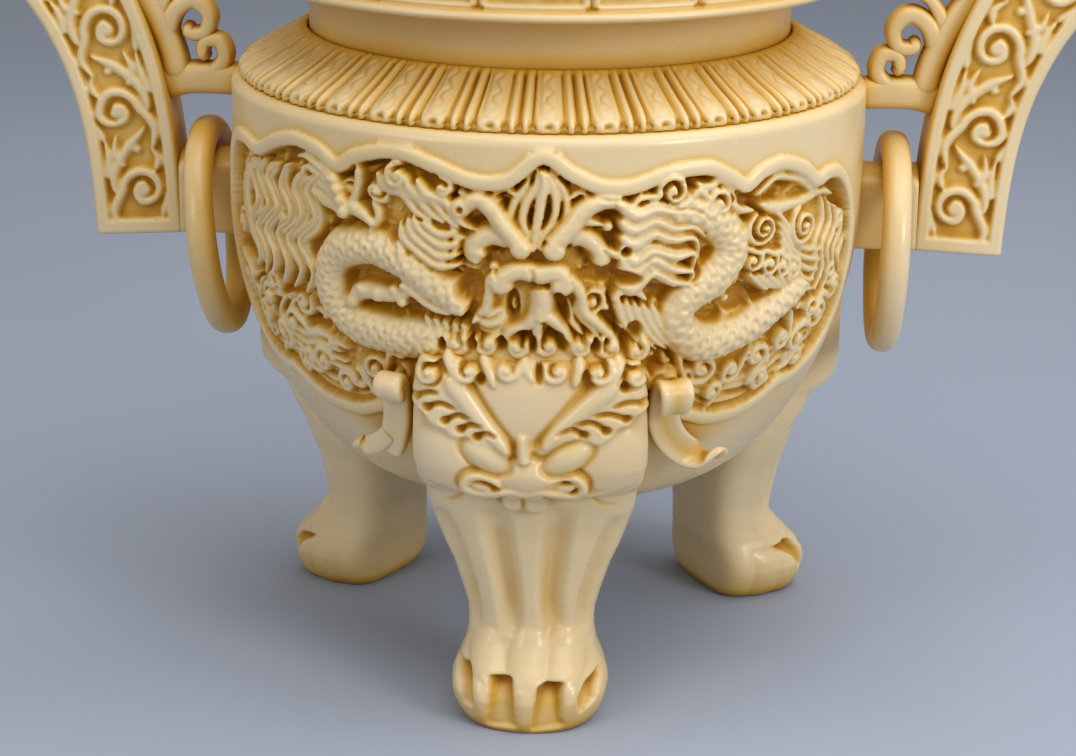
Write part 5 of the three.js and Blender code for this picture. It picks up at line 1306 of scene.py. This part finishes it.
# The mask, the shin and the paw, seen from the front: across and up
SHIN_VALLEYS = [
    # points, width, depth
    ([(-6.4, 43), (-5.8, 38), (-4.9, 32), (-3.8, 25), (-3.2, 17)], (7.2, 5.0), 2.3),
    ([(5.6, 43.5), (5.0, 38), (4.4, 31), (4.0, 24), (4.7, 16)], (7.2, 5.0), 2.4),
    ([(-16.4, 41), (-14.2, 35), (-12.0, 28), (-10.6, 22), (-10.2, 17)], (4.4, 3.2), 1.5),
    ([(15.8, 40.5), (13.4, 34), (11.4, 28), (10.0, 22), (9.6, 17)], (4.4, 3.2), 1.5),
]
TOES = [(-7.7, 12.8, 3.4), (0.0, 13.0, 4.0), (6.8, 12.8, 4.0)]
PAW_HOLLOWS = [
    [(-6.7, 10.2), (-3.0, 10.2), (-1.9, 1.6), (-7.6, 1.2)],
    [(2.2, 9.0), (3.4, 9.6), (6.2, 9.7), (6.7, 1.6), (0.8, 0.8)],
    [(-13.3, 10.6), (-10.6, 10.9), (-10.0, 4.6), (-11.8, 4.4)],
    [(9.6, 6.6), (10.6, 8.8), (13.2, 10.2), (12.4, 6.0), (9.8, 3.8)],
]
CLAWS = [([(-8.8, 11), (-8.8, 7), (-8.6, 2)], (3.4, 2.4)),
         ([(-0.3, 11.5), (-0.5, 7), (-0.6, 3), (-0.6, 0.2)], (4.8, 2.0)),
         ([(8.2, 11), (8.0, 7), (7.4, 2)], (4.0, 2.2))]
FOREHEAD_EDGES = [[(-11.9, 69.4), (-8.4, 64.6), (-5.6, 60.8), (-3.1, 57.6), (-1.9, 56.0)],
                  [(11.6, 69.4), (7.9, 65), (4.5, 61.1), (1.8, 58.1), (1.2, 56.6)]]
BROWS = [[(-13.9, 69), (-10.7, 64.8), (-7.9, 61.2), (-5.4, 58.2), (-3.4, 55.8)],
         [(14.8, 68.6), (11.8, 65.9), (8.4, 63), (5.2, 60), (2.6, 56.8)]]
FRINGES = [
    [(-20.2, 68.3), (-20.5, 65.8), (-19.6, 63.4), (-17.9, 62.4), (-16.9, 60.6), (-14.2, 59.6), (-13, 58.4),
     (-10.4, 58.6), (-8.8, 57.4), (-5.9, 56.6), (-3.6, 55.0), (-3.2, 56.8), (-5.2, 59.6), (-8, 62.8),
     (-11, 66.2), (-13.6, 69.5)],
    [(20.6, 67.6), (20.9, 65.1), (19.4, 63.1), (17.9, 62.7), (17.2, 61.2), (15, 60.5), (14, 58.9),
     (11.8, 57.7), (9.6, 58.6), (7.0, 58.5), (4.8, 57.4), (2.2, 55.6), (2.6, 57.2), (5.4, 60.6), (8.6, 63.6),
     (12, 66.4), (15, 69.4)],
]
FRINGE_SLOTS = [
    [(-15.4, 66.1), (-17.4, 66.1), (-19.4, 65)], [(-12.3, 63.3), (-15.2, 64.3), (-17.4, 63.4)],
    [(-9.9, 61.8), (-12.2, 62.4), (-14.3, 61.3)], [(-7.7, 60.5), (-9.8, 60.9), (-11.6, 59.9)],
    [(-5.4, 58.6), (-7.2, 59.5), (-8.8, 58.7)],
    [(14.2, 64.2), (16.8, 65.2), (19.4, 64.9)], [(10.8, 62.8), (13.8, 63.2), (16.9, 62.2)],
    [(7.4, 61.4), (11, 61.7), (13.4, 60.2)], [(4.8, 59.4), (7.3, 60.6), (9.6, 59.5)],
]
NOSTRIL_ROLLS = [
    [(-3.4, 48.4), (-6.0, 47.5), (-9.0, 47.4), (-10.9, 48.7), (-10.3, 50.6), (-8.2, 51.3), (-6.0, 50.6),
     (-4.6, 49.2)],
    [(2.8, 48.4), (5.4, 47.7), (8.0, 47.4), (9.5, 48.8), (9.0, 50.6), (6.9, 51.7), (4.6, 51.3), (3.2, 49.8)],
]
LIP_LINE = [(-20.4, 53.6), (-17.4, 50), (-12.2, 47.7), (-7, 46.9), (-2.4, 46.9), (-0.9, 47.6), (0.8, 46.9),
            (5.7, 46.7), (12.5, 47.4), (17.2, 49.8), (20.6, 53.2)]
TOP_CURLS = [
    # across, up, radius, start angle, hand
    (-17.0, 69.8, 2.9, 60, 1), (-10.4, 70.6, 2.6, 120, 1), (-3.8, 71.0, 2.2, 40, -1),
    (4.8, 71.0, 2.7, 120, 1), (12.0, 70.8, 2.6, 60, -1), (18.0, 70.0, 2.8, 120, -1),
]


def mask_relief():
    """The front of a leg, mask, shin and paw: u across, v the height."""
    r = Relief(-26, 26, -1, 76)

    def plate(outline, top, reach=2):
        """Lifts the inside of an outline to a level, with a rounded edge."""
        share = blurred(r.inside(spline(outline, 0.6, closed=True)).astype(float), reach)
        share = np.clip(share * 1.5, 0, 1)
        r.h = r.h * (1 - share) + np.maximum(r.h, top) * share

    def brows():
        for outline in FRINGES:
            plate(outline, 1.7)
        for points in BROWS:
            r.ridge(points, (5.0, 2.2), (2.4, 2.3), ends=(0.1, 0.1), power=0.35)

    for points, width, depth in SHIN_VALLEYS:
        r.groove(points, width, depth, ends=(0.25, 0.25), power=1.6)
    for x, z, size in TOES:
        r.dome(x, z, size, size * 1.35, 1.5, base=-0.1, power=0.9)
    r.smooth(6)
    # Paw: hollows with a sharp upper edge, and claws that point down between them
    gv = r.v[:, None] + 0 * r.h
    for outline in PAW_HOLLOWS:
        low, high = min(p[1] for p in outline), max(p[1] for p in outline)
        depth = 0.7 + 2.3 * np.clip((gv - low) / (high - low), 0, 1)
        share = blurred(r.inside(outline).astype(float), 1)
        r.h = r.h * (1 - share) - depth * share
    for points, width in CLAWS:
        r.ridge(points, width, (0.8, 0.1), base=-0.6, ends=(0.2, 0.1), power=0.7)
    # Corner creases and teeth below the lip
    for points in ([(-11.6, 46.6), (-12.8, 44.8), (-15.2, 43.6)],
                   [(11.0, 46.2), (12.8, 44.2), (15.6, 43.2)]):
        r.groove(points, 0.9, 0.6, ends=(0.05, 0.3))
    for low, high, foot in ((-4.3, -1.3, 43.7), (-0.6, 3.0, 43.4)):
        plate([(low, foot), (low, 46.9), (high, 46.9), (high, foot)], 1.7, reach=1)
    r.groove([(-1.0, 47), (-1.0, 45.4), (-1.0, 43.9)], 0.7, 1.2, ends=(0.05, 0.05))
    r.groove([(-5.0, 46.8), (-4.9, 45.6), (-5.0, 44.6)], 0.8, 0.8)
    # Cheeks, lip and muzzle
    for s in (-1, 1):
        r.dome(s * 14.6 + 0.2, 54.2, 7.6, 7.4, 1.5, base=-0.5, power=0.7)
    r.ridge(LIP_LINE, 1.5, 0.7, base=-0.2, ends=(0.1, 0.1))
    r.dome(0, 51.0, 6.6, 4.0, 2.3, base=-0.2, power=0.6)
    r.groove([(-11.6, 47.6), (-12.4, 50.2), (-10.8, 52.2), (-7.8, 52.6), (-4.8, 51.4)], 1.0, 0.6,
             ends=(0.2, 0.2))
    r.groove([(10.4, 48.0), (10.8, 50.6), (9.0, 52.6), (6.2, 53), (3.2, 51.8)], 1.0, 0.6, ends=(0.2, 0.2))
    for points in NOSTRIL_ROLLS:
        r.ridge(points, (2.0, 1.8), (2.4, 2.1), ends=(0.12, 0.15))
    r.ridge([(-6.0, 47.7), (-3.2, 48.2), (-0.4, 47.6), (2.6, 48.2), (5.4, 47.8)], 1.7, 2.2, ends=(0.1, 0.1))
    for x, z, angle in ((-8.0, 49.0, -14), (6.6, 49.3, 14)):
        r.dome(x, z, 2.0, 1.0, 1.75, angle=angle, base=0.9)
    # Forehead, a smooth shield between two diagonal edges, and the brows over them
    r.dome(0, 65.6, 12.6, 11.6, 2.0, base=-0.6, power=0.7)
    brows()
    for points in FOREHEAD_EDGES:
        r.groove(points, (3.4, 2.0), 0.9, ends=(0.08, 0.08))
    # Eyes, in sockets that run up under the brows
    for s, x in ((-1, -7.4), (1, 7.0)):
        r.pit(x, 55.0, 5.6, 3.1, -0.1, angle=s * 30, power=0.4)
    for s, x in ((-1, -7.3), (1, 6.9)):
        r.dome(x, 54.9, 5.2, 2.8, 2.2, angle=s * 30, base=-0.1, power=0.6)
    brows()
    for points in FRINGE_SLOTS:
        r.groove(points, (0.9, 1.2), 1.5, ends=(0.3, 0.05))
        r.pit(points[-1][0], points[-1][1], 0.85, 0.75, -0.3, power=0.5)
    # Nose wedge over a small lump
    r.dome(-0.4, 54.2, 2.6, 1.1, 1.3, base=-0.4)
    r.ridge([(-1.2, 59.4), (-1.0, 57.2), (-0.7, 55), (-0.6, 53.9)], (1.3, 2.5), (2.3, 2.6),
            ends=(0.15, 0.06))
    # Curls along the top, and the locks between them
    for x, z, size, start, hand in TOP_CURLS:
        r.pit(x, z - 0.4, size * 0.8, size * 0.8, -0.5)
        r.curl(x, z, size, 1.0, start, 2.0, 2.3, hand=hand)
    for points in ([(-8.2, 74.4), (-7.2, 71.6), (-5.8, 67.6)], [(-1.4, 74.4), (-0.8, 71.6), (1.0, 68.8)],
                   [(8.6, 74.4), (8.6, 71.4), (7.8, 68)], [(-14.2, 74.4), (-13.6, 71.6), (-12.2, 68.4)],
                   [(15.2, 74.4), (15.2, 71.6), (14.4, 68.6)]):
        r.ridge(points, (2.8, 1.7), 2.3)
    for x, z, rx, rz in ((1.8, 70.6, 0.7, 2.4), (9.9, 69.8, 0.9, 1.2), (-8.4, 69.0, 1.0, 1.1),
                         (16.4, 68.0, 0.9, 1.0)):
        r.pit(x, z, rx, rz, -0.8)
    r.smooth(1)
    return r


def clear_of_rings(points):
    """The back legs' masks stop short of the space that the loose rings swing through."""
    reach = np.abs(points[..., 0])
    over = np.clip(reach - RING_SPACE_X + 1, 0, None)
    reach = np.where(over > 0, RING_SPACE_X - np.exp(-over), reach)
    return np.dstack([np.sign(points[..., 0]) * reach, points[..., 1], points[..., 2]])


LEG_ROW = 0.3  # between the rows of a leg's mesh
LEG_COLUMNS = 300
BACK_SQUARENESS = 0.55
TOE_SPACING = 6.4
CURL_SPACING = 7.0
DIP_FROM_Z = 69.5


def leg(relief, stain_and_shade, name, turn):
    """One leg, its section taken from the levels, with the relief on its front."""
    levels = np.array(LEG_LEVELS)
    z = np.concatenate([np.linspace(0, 2, 7)[:-1], np.arange(2, LEG_TOP_Z, LEG_ROW), [LEG_TOP_Z]])
    smooth = []
    for k in range(1, 5):
        values = np.interp(z, levels[:, 0], levels[:, k])
        for _ in range(3):
            inner = 0.25 * np.roll(values, 1) + 0.5 * values + 0.25 * np.roll(values, -1)
            values[1:-1] = inner[1:-1]
        smooth.append(values[:, None])
    width, front, back, square = smooth
    # Columns are closest together on the front
    share = np.linspace(-1, 1, LEG_COLUMNS, endpoint=False)
    angle = -math.pi / 2 + math.pi * (share * 0.72 + 0.28 * share**3)
    cosine, sine = np.cos(angle)[None], np.sin(angle)[None]
    power = np.where(sine > 0, BACK_SQUARENESS, square)
    x = width * signed_power(cosine, power)
    outward = -signed_power(sine, power)
    y = -((front + back) / 2 + (front - back) / 2 * outward)
    facing = np.clip(-sine * 1.6 + 0.25, 0, 1)
    height = z[:, None] + 0 * x
    lift = sample(relief, relief.h, x, height) * facing
    wax_and_shade = sample(relief, stain_and_shade, x, height) * facing
    # Toes on the paw's sides
    side_toes = np.clip((12 - height) / 4, 0, 1) * np.clip(1 - facing, 0, 1)
    lift += side_toes * 0.5 * (np.abs(np.cos(math.pi * y / TOE_SPACING)) - 0.6)
    normal_x = cosine / np.maximum(width, 1)
    normal_y = sine / np.maximum((front - back) / 2, 1)
    size = np.hypot(normal_x, normal_y)
    x = x + lift * normal_x / size
    y = y + lift * normal_y / size
    y = np.maximum(y, LEG_FRONT_LIMIT)
    shade = 0.12 * np.clip((3 - height) / 3, 0, 1)
    # The top edge dips between the curls
    dip = 1.6 * np.abs(np.sin(math.pi * (x + 20.6) / CURL_SPACING)) ** 3 + 0.6 * np.sin(0.7 * x) ** 2
    height = height - dip * np.clip((height - DIP_FROM_Z) / (LEG_TOP_Z - DIP_FROM_Z), 0, 1) ** 2
    points = np.dstack([x, y, height])
    low = np.repeat(points[:1].mean(1, keepdims=True), points.shape[1], axis=1)
    high = np.repeat(points[-1:].mean(1, keepdims=True), points.shape[1], axis=1)
    points = np.vstack([low, points, high])
    wax_and_shade = np.vstack([wax_and_shade[:1] * 0, wax_and_shade + shade, wax_and_shade[-1:] * 0])
    points = clear_of_rings(turned(points, turn))
    mesh_object(name, "vessel", name, SMOOTH, [(points, wax_and_shade, False, True)])


STRAP_LINES = {
    # degrees from the front, stand-off from the belly, height, half width
    "right": [(24.6, 4.2, 62.5, 2.2), (24.6, 5.6, 62.2, 2.6), (24.6, 6.4, 63.8, 2.9), (24.6, 6.0, 66.0, 3.1),
              (24.6, 4.2, 67.4, 3.1), (24.6, 2.3, 67.0, 3.1), (24.7, 1.4, 65.0, 3.1), (24.9, 1.1, 62.0, 3.1),
              (25.6, 1.2, 58.4, 3.1), (27.8, 1.9, 54.8, 3.0),
              (31.2, 3.0, 51.8, 2.9), (34.6, 4.4, 50.3, 2.6), (37.2, 5.6, 50.6, 2.2),
              (38.4, 6.2, 52.0, 1.8)],
    "left": [(24.4, 2.6, 63.5, 2.2), (24.4, 4.2, 63.8, 2.6), (24.4, 5.0, 65.2, 2.8), (24.4, 3.8, 66.6, 2.8),
             (24.5, 2.4, 66.0, 2.8), (24.8, 2.0, 62.0, 2.8), (25.6, 2.2, 58.0, 2.8), (26.8, 3.0, 54.5, 2.7),
             (27.8, 4.0, 51.7, 2.4), (28.3, 4.7, 50.4, 1.9)],
}
STRAP_PRONG = [(27.4, 3.2, 55.0, 1.8), (29.8, 4.2, 52.8, 1.9), (32.6, 4.9, 51.4, 1.9),
               (34.6, 5.2, 51.3, 1.7), (35.4, 5.2, 52.2, 1.3)]


def ribbon(stations, sign, half_thick, hollow_depth):
    """The grid of a strip over the belly through stations, with raised edges beside its hollow."""
    line = spline(stations, 0.45)
    angle = -math.pi / 2 + sign * np.radians(line[:, 0])
    radius = belly_radius(line[:, 2]) + line[:, 1]
    path = np.column_stack([radius * np.cos(angle), radius * np.sin(angle), line[:, 2]])
    tangent = directions(path)
    around = np.column_stack([-np.sin(angle), np.cos(angle), 0 * angle])
    across = around - (around * tangent).sum(1)[:, None] * tangent
    across /= np.linalg.norm(across, axis=1)[:, None]
    up = np.cross(tangent, across)
    turn = full_turn(36)
    width_share = signed_power(np.cos(turn), 0.55)
    hollow = 1 - hollow_depth * (1 - np.abs(width_share) ** 1.6)
    thick_share = signed_power(np.sin(turn), 0.7) * hollow
    points = swept(path, across, up, line[:, 3], half_thick, width_share, thick_share, 0.04)
    wax_and_shade = hollow_depth * np.clip(1 - np.abs(width_share) * 1.2, 0, 1)[None] * np.ones((len(path), 1))
    return points, wax_and_shade, False, True


def straps():
    """Curled straps beside the front mask: hollow on the right, full and with a prong on the left."""
    left = [ribbon(STRAP_LINES["left"], -1, 1.5, 0.1), ribbon(STRAP_PRONG, -1, 1.3, 0.0)]
    right = [ribbon(STRAP_LINES["right"], 1, 1.15, 0.6)]
    for name, grids in (("scroll_tab_front_a", left), ("scroll_tab_front_b", right)):
        mesh_object(name, "vessel", name, SMOOTH, grids)


# Handles, lugs, brackets and rings

HANDLE_CURVES = [
    ((78.3, 79.5), (79.14, 97.5), (80.26, 110.1), (88.1, 124.5)),
    ((88.1, 124.5), (95.38, 137.1), (105.46, 147.0), (106.3, 169.5)),
]


def board_half_width(share):
    """Half the board's width at a share of its length."""
    return (HANDLE_BOTTOM_WIDTH + share**2 * (HANDLE_TOP_WIDTH - HANDLE_BOTTOM_WIDTH)) / 2


def handle_line(steps=240):
    """The board's middle line, evenly spaced, and each point's distance along it."""
    runs = [bezier(*[np.array(p) for p in curve], np.linspace(0, 1, 300)) for curve in HANDLE_CURVES]
    line = np.vstack([runs[0], runs[1][1:]])
    along = length_along(line)
    at = np.linspace(0, along[-1], steps)
    return np.column_stack([np.interp(at, along, line[:, k]) for k in (0, 1)]), at


SCROLL_STEP = 15.5  # from one scroll on the board to the next
SCROLL_TOP = -0.15
LONG_LEAF = [(1.0, 4.2), (5.5, 3.6), (9.5, 0.8), (13.5, -3.0)]
SMALL_LEAVES = [
    # points along and across the board, width, drop
    ([(4.0, 5.2), (8.0, 4.6), (12.0, 4.9)], (2.8, 1.2), 0.1),
    ([(6.0, 1.6), (9.0, 3.2), (12.5, 2.6)], (2.6, 1.2), 0.1),
    ([(5.0, -4.0), (7.5, -4.9), (10.0, -3.6)], (2.4, 1.2), 0.1),
    ([(-4.0, -4.6), (-1.5, -5.4), (1.0, -5.6)], (2.4, 1.1), 0.2),
]


def handle_relief(length):
    """Leafy scrolls in a sunk field: u up the handle, v from its inner edge (-) to its outer edge (+)."""
    r = Relief(-1, length + 1, -13, 13)
    gu, gv = np.meshgrid(r.u, r.v)
    half = board_half_width(np.clip(gu / length, 0, 1))
    room = np.minimum(np.minimum(half - np.abs(gv), gu), length - gu) - HANDLE_BORDER
    r.h = np.where(room > 0, -HANDLE_RECESS * np.clip(room / 0.5, 0, 1), 0)
    wall = r.h.copy()
    # Outside the field everything painted is hidden, so that the field alone is carved
    r.h = r.h - 9 * (room <= 0)
    for k in range(int(length / SCROLL_STEP) + 1):
        u = 6.5 + SCROLL_STEP * k
        hand = 1 if k % 2 == 0 else -1
        w = 1 + 0.35 * min(u / length, 1)

        def spread(points):
            return [(u + along, hand * across * w) for along, across in points]

        # Scroll with a round eye
        r.curl(u + 1.5, -hand * 1.6 * w, 4.2 * w, 1.35, 90 * hand, 2.5, SCROLL_TOP, hand=-hand,
               tail=spread([(-6.5, 3.6), (-2.5, 4.6)]))
        r.dome(u + 1.5, -hand * 1.6 * w, 1.5, 1.5, SCROLL_TOP + 0.2)
        r.ridge(spread(LONG_LEAF), (3.0, 2.2), (SCROLL_TOP, SCROLL_TOP - 0.1), ends=(0.3, 0.3))
        for points, width, drop in SMALL_LEAVES:
            r.ridge(spread(points), width, SCROLL_TOP - drop, ends=(0.3, 0.5))
        r.dome(u + 9.4, -hand * 1.0 * w, 1.0, 1.0, SCROLL_TOP - 0.2)
    r.warp(0.9, 2.0, 51)
    r.h = np.where(room > 0, np.minimum(np.maximum(r.h, wall), 0.0), wall)
    r.smooth(1)
    return r


def handle(side_name, sign, relief, stain_and_shade):
    """An upright board with scrolls on both faces, and the bracket and lug that hold it."""
    line, at = handle_line()
    tangent = directions(line)
    outward = np.column_stack([tangent[:, 1], -tangent[:, 0]])
    half = board_half_width(at / at[-1])
    corner = 0.7
    face_places = np.concatenate([[-1.0], np.linspace(-1, 1, 54), [1.0]])
    # The section runs over one face, one edge, the other face and the other edge
    section = []
    for face in (-1, 1):
        section.extend((place, face, True) for place in face_places[::-face])
        section.extend((-face, face * share, False) for share in (0.96, 0.5, 0, -0.5, -0.96))
    points = np.zeros((len(line), len(section), 3))
    wax_and_shade = np.zeros((len(line), len(section)))
    for j, (place, y, on_face) in enumerate(section):
        depth = y * HANDLE_FACE
        if on_face:
            across = place * (half - corner)
            wax_and_shade[:, j] = sample(relief, stain_and_shade, at, across)
            if abs(place) < 1:
                depth = y * (HANDLE_FACE + sample(relief, relief.h, at, across))
        else:
            across = place * half
            # Painted shade on the edge that faces the belly; the outer edge gets only a little wax
            wax_and_shade[:, j] = 0.22 if place < 0 else 0.04
        points[:, j, 0] = line[:, 0] + outward[:, 0] * across
        points[:, j, 1] = depth
        points[:, j, 2] = line[:, 1] + outward[:, 1] * across
    # Flat ends with a small bevel
    ends = []
    for k, direction in ((0, -1), (-1, 1)):
        middle = points[k].mean(0)
        push = np.array([tangent[k, 0], 0, tangent[k, 1]]) * direction * 0.4
        ends.append([middle + (points[k] - middle) * share + push for share in (0, 0.5, 0.95)])
    points = np.concatenate([ends[0], points, ends[1][::-1]])
    bare = np.zeros((3, len(section)))
    wax_and_shade = np.vstack([bare, wax_and_shade, bare])
    points[..., 0] *= sign
    node = f"handle_{side_name}"
    mesh_object(f"{node}_board", "vessel", node, CARVED, [(points, wax_and_shade, False, True)])
    bracket(side_name, sign, node)
    lug(side_name, sign, node)


BRACKET_STROKES = [
    # points from the belly and the strut, start and end width, half thickness
    ([(-1.5, 0), (4, 0.3), (9, 0.2), (14, -1)], 6.0, 6.4, 3.6),
    ([(10.5, -2), (12, 6), (15.5, 14), (21, 22), (28, 32), (33, 43)], 5.4, 3.2, 3.5),
    ([(7.0, 0.6), (3.6, 1.8), (1.7, 4.4), (2.6, 7.4), (5.4, 7.4), (5.9, 5.0), (4.4, 4.6)], 3.8, 2.6, 3.3),
    ([(13.5, 6), (11.4, 12.6), (7.6, 15.2), (4.6, 12.6), (5.4, 9.2), (8.4, 9.0), (8.4, 11.2)], 4.4, 2.6,
     3.3),
    ([(15, 11), (11.5, 17.5), (6.5, 20.5)], 3.8, 1.6, 3.0),
    ([(18.5, 15.5), (15.5, 24), (11.4, 26), (9.0, 22.8), (10.6, 19.8), (13.2, 20.6)], 4.2, 2.4, 3.2),
    ([(24, 24), (21, 33.4), (16.8, 35.4), (14.8, 31.8), (16.8, 29), (19, 30.4)], 4.0, 2.2, 3.2),
    ([(30, 35), (27.5, 44.4), (23, 46), (21, 42.6), (23, 40.2), (25.2, 41.6)], 3.8, 2.2, 3.0),
]


def bracket(side_name, sign, node):
    """The openwork of scrolls between the board and the belly."""
    turn = full_turn(28)
    flat_section = signed_power(np.cos(turn), 0.62), signed_power(np.sin(turn), 0.62)
    # A little wax all over, and painted shade on the strokes' sides, which face each other across the
    # openwork
    wax_and_side_shade = 0.14 + 0.3 * (np.abs(np.sin(turn)) < 0.4)[None]
    grids = []
    for points, start, end, thick in BRACKET_STROKES:
        flat = np.array([(BELLY_RADIUS + x, STRUT_Z + z) for x, z in points])
        line = spline(flat, 0.5)
        tangent = directions(line)
        path = np.column_stack([line[:, 0], 0 * line[:, 0], line[:, 1]])
        across = np.column_stack([-tangent[:, 1], 0 * line[:, 0], tangent[:, 0]])
        up = np.tile([0.0, 1.0, 0.0], (len(line), 1))
        share = np.linspace(0, 1, len(line))
        half = (start + (end - start) * share) / 2
        bar = swept(path, across, up, half, thick - 0.4 * share, *flat_section, 0.09)
        bar[..., 0] *= sign
        grids.append((bar, wax_and_side_shade * np.ones((len(line), 1)), False, True))
    mesh_object(f"bracket_{side_name}", "vessel", node, CARVED, grids)


LUG_REACH = (52.5, 70.4)  # from inside the belly to the board
LUG_HALF_WIDTH = 6.5
LUG_MIDDLE_Z = 87


def lug(side_name, sign, node):
    """The block under the bracket, over which the loose ring hangs."""
    start, end = LUG_REACH
    x = np.concatenate([[start], np.linspace(start, end, 24), [end]])
    half = LUG_HALF_WIDTH
    outline = rounded([(-half, LUG_BOTTOM_Z, 0.8), (half, LUG_BOTTOM_Z, 0.8), (half, 92.7, 1.2),
                       (3.6, 94.6, 2.5), (0, LUG_TOP_Z, 3), (-3.6, 94.6, 2.5), (-half, 92.7, 1.2)],
                      spacing=0.9)
    points = np.zeros((len(x), len(outline), 3))
    points[..., 0] = sign * x[:, None]
    points[..., 1] = outline[None, :, 0]
    points[..., 2] = outline[None, :, 1]
    points[[0, -1], :, 1:] = (0, LUG_MIDDLE_Z)
    wax_and_shade = np.full((1, 1), 0.06)
    mesh_object(f"lug_{side_name}", "vessel", node, SMOOTH, [(points, wax_and_shade, False, True)])


def ring(side_name, sign):
    """A loose ring with a slightly uneven tube, hanging at a lean."""
    lean = math.radians(RING_LEAN[side_name])
    angles = full_turn(220)
    tube = full_turn(36)
    out = signed_power(np.cos(tube), RING_SQUARENESS)
    side = signed_power(np.sin(tube), RING_SQUARENESS)
    wobble = 1 + 0.012 * np.sin(3 * angles + 0.7) + 0.01 * np.sin(7 * angles)
    radius = RING_RADIUS + (RING_TUBE * wobble)[:, None] * out[None] * 0.99
    across = (RING_TUBE * wobble)[:, None] * side[None] * 0.99
    y = radius * np.sin(angles)[:, None]
    drop = -RING_RADIUS + radius * np.cos(angles)[:, None]
    x = across * math.cos(lean) + drop * math.sin(lean)
    z = drop * math.cos(lean) - across * math.sin(lean)
    points = np.dstack([sign * (RING_CENTRE_X + x), y, RING_PIVOT_Z + z])
    # The left ring's larger share is painted shade; the loop's inner side is made more amber too
    wax_and_shade = RING_WAX_AND_SHADE[side_name] + 0.3 * np.clip(-out, 0, 1)[None] * np.ones((len(angles), 1))
    mesh_object(f"loose_ring_{side_name}", f"ring_{side_name}", f"ring_{side_name}", SMOOTH,
                [(points, wax_and_shade, True, True)])


# Assembly

bowl()
collar()
neck()
lid()
finial()

front_mask = mask_relief()
mask_stain = front_mask.stain_and_shade(reach=1.4, gain=0.5, level=-0.1, slope=0.09)
# The shin between the paw and the lip holds little wax
mask_stain *= np.where((front_mask.v > 12) & (front_mask.v < 43.5), 0.35, 1)[:, None]
for place, turn in LEG_TURNS.items():
    leg(front_mask, mask_stain, f"leg_{place}", turn)
straps()

handle_length = handle_line()[1][-1]
board = handle_relief(handle_length)
board_stain = board.stain_and_shade(reach=1.2, gain=0.6, level=-0.2, slope=0.2)
for side_name, sign in (("right", 1), ("left", -1)):
    handle(side_name, sign, board, board_stain)
    ring(side_name, sign)

dowel = steel()
for name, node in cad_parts.items():
    if "peg" in name or "pin" in name:
        for slot in node.material_slots:
            slot.material = dowel


# Stage, light and camera

BACKDROP_PROFILE = [(-700, 0), (-200, 0), (300, 0), (700, 0), (1000, 8), (1200, 60), (1330, 180),
                    (1380, 400), (1400, 1200)]
BACKDROP_HALF_WIDTH = 1600
BACKDROP_COLUMNS = 9


def stage():
    """A plain paper floor that curves up behind the vessel."""
    material, tree, shader = node_tree("backdrop_paper")
    grey = ramp(tree, noise(tree, 3, 2), [(0.3, linear(154, 164, 185)), (0.7, linear(162, 172, 192))], True)
    tree.links.new(grey, shader.inputs["Base Color"])
    shader.inputs["Roughness"].default_value = 0.85
    places = np.linspace(-BACKDROP_HALF_WIDTH, BACKDROP_HALF_WIDTH, BACKDROP_COLUMNS)
    verts = [Vector((x, y, z)) * MM for y, z in BACKDROP_PROFILE for x in places]
    faces = []
    for i in range(len(BACKDROP_PROFILE) - 1):
        for j in range(BACKDROP_COLUMNS - 1):
            a = i * BACKDROP_COLUMNS + j
            faces.append((a, a + 1, a + BACKDROP_COLUMNS + 1, a + BACKDROP_COLUMNS))
    mesh = bpy.data.meshes.new("backdrop")
    mesh.from_pydata(verts, [], faces)
    for polygon in mesh.polygons:
        polygon.use_smooth = True
    mesh.materials.append(material)
    backdrop = bpy.data.objects.new("backdrop", mesh)
    bpy.context.scene.collection.objects.link(backdrop)
    bend = backdrop.modifiers.new("smooth", "SUBSURF")
    bend.levels = bend.render_levels = 2


def area_light(name, place, height, size, power, colour=(1, 1, 1)):
    """A square lamp in metres at a place in millimetres, aimed at a height on the axis."""
    data = bpy.data.lights.new(name, "AREA")
    data.shape = "RECTANGLE"
    data.size = data.size_y = size
    data.energy = power
    data.color = colour
    lamp = bpy.data.objects.new(name, data)
    lamp.location = Vector(place) * MM
    lamp.rotation_euler = (Vector((0, 0, height)) - Vector(place)).to_track_quat("-Z", "Y").to_euler()
    bpy.context.scene.collection.objects.link(lamp)


def lights():
    """An even studio world, a soft lamp overhead and two small ones in front."""
    world = bpy.data.worlds.new("studio")
    bpy.context.scene.world = world
    world.use_nodes = True
    background = world.node_tree.nodes["Background"]
    background.inputs["Color"].default_value = linear(234, 228, 216)
    background.inputs["Strength"].default_value = 0.47
    area_light("overhead", (120, -70, 620), 60, 0.7, 3.6, (1, 0.98, 0.95))
    area_light("front_left", (-420, -520, 420), 80, 0.25, 0.8)
    area_light("front_right", (520, -460, 330), 80, 0.2, 1.6)


# The photograph's camera: its place, and its pitch in degrees and yaw and roll in radians
CAMERA_PLACE = (23.02, -488.5, 209.3)
CAMERA_PITCH = 18.05
CAMERA_YAW = 0.05
CAMERA_ROLL = 0.012
CAMERA_LENS = 87.24


def camera():
    """The view of the photograph."""
    data = bpy.data.cameras.new("camera")
    data.sensor_width = 36
    data.lens = CAMERA_LENS
    data.clip_start = 0.01
    view = bpy.data.objects.new("camera", data)
    view.location = Vector(CAMERA_PLACE) * MM
    tilt = Matrix.Rotation(math.radians(90 - CAMERA_PITCH), 3, "X")
    yaw = Matrix.Rotation(CAMERA_YAW, 3, "Z")
    roll = Matrix.Rotation(CAMERA_ROLL, 3, "Z")
    view.rotation_euler = (yaw @ tilt @ roll).to_euler()
    bpy.context.scene.collection.objects.link(view)
    bpy.context.scene.camera = view


stage()
lights()
camera()
bpy.context.scene.view_settings.view_transform = "Standard"
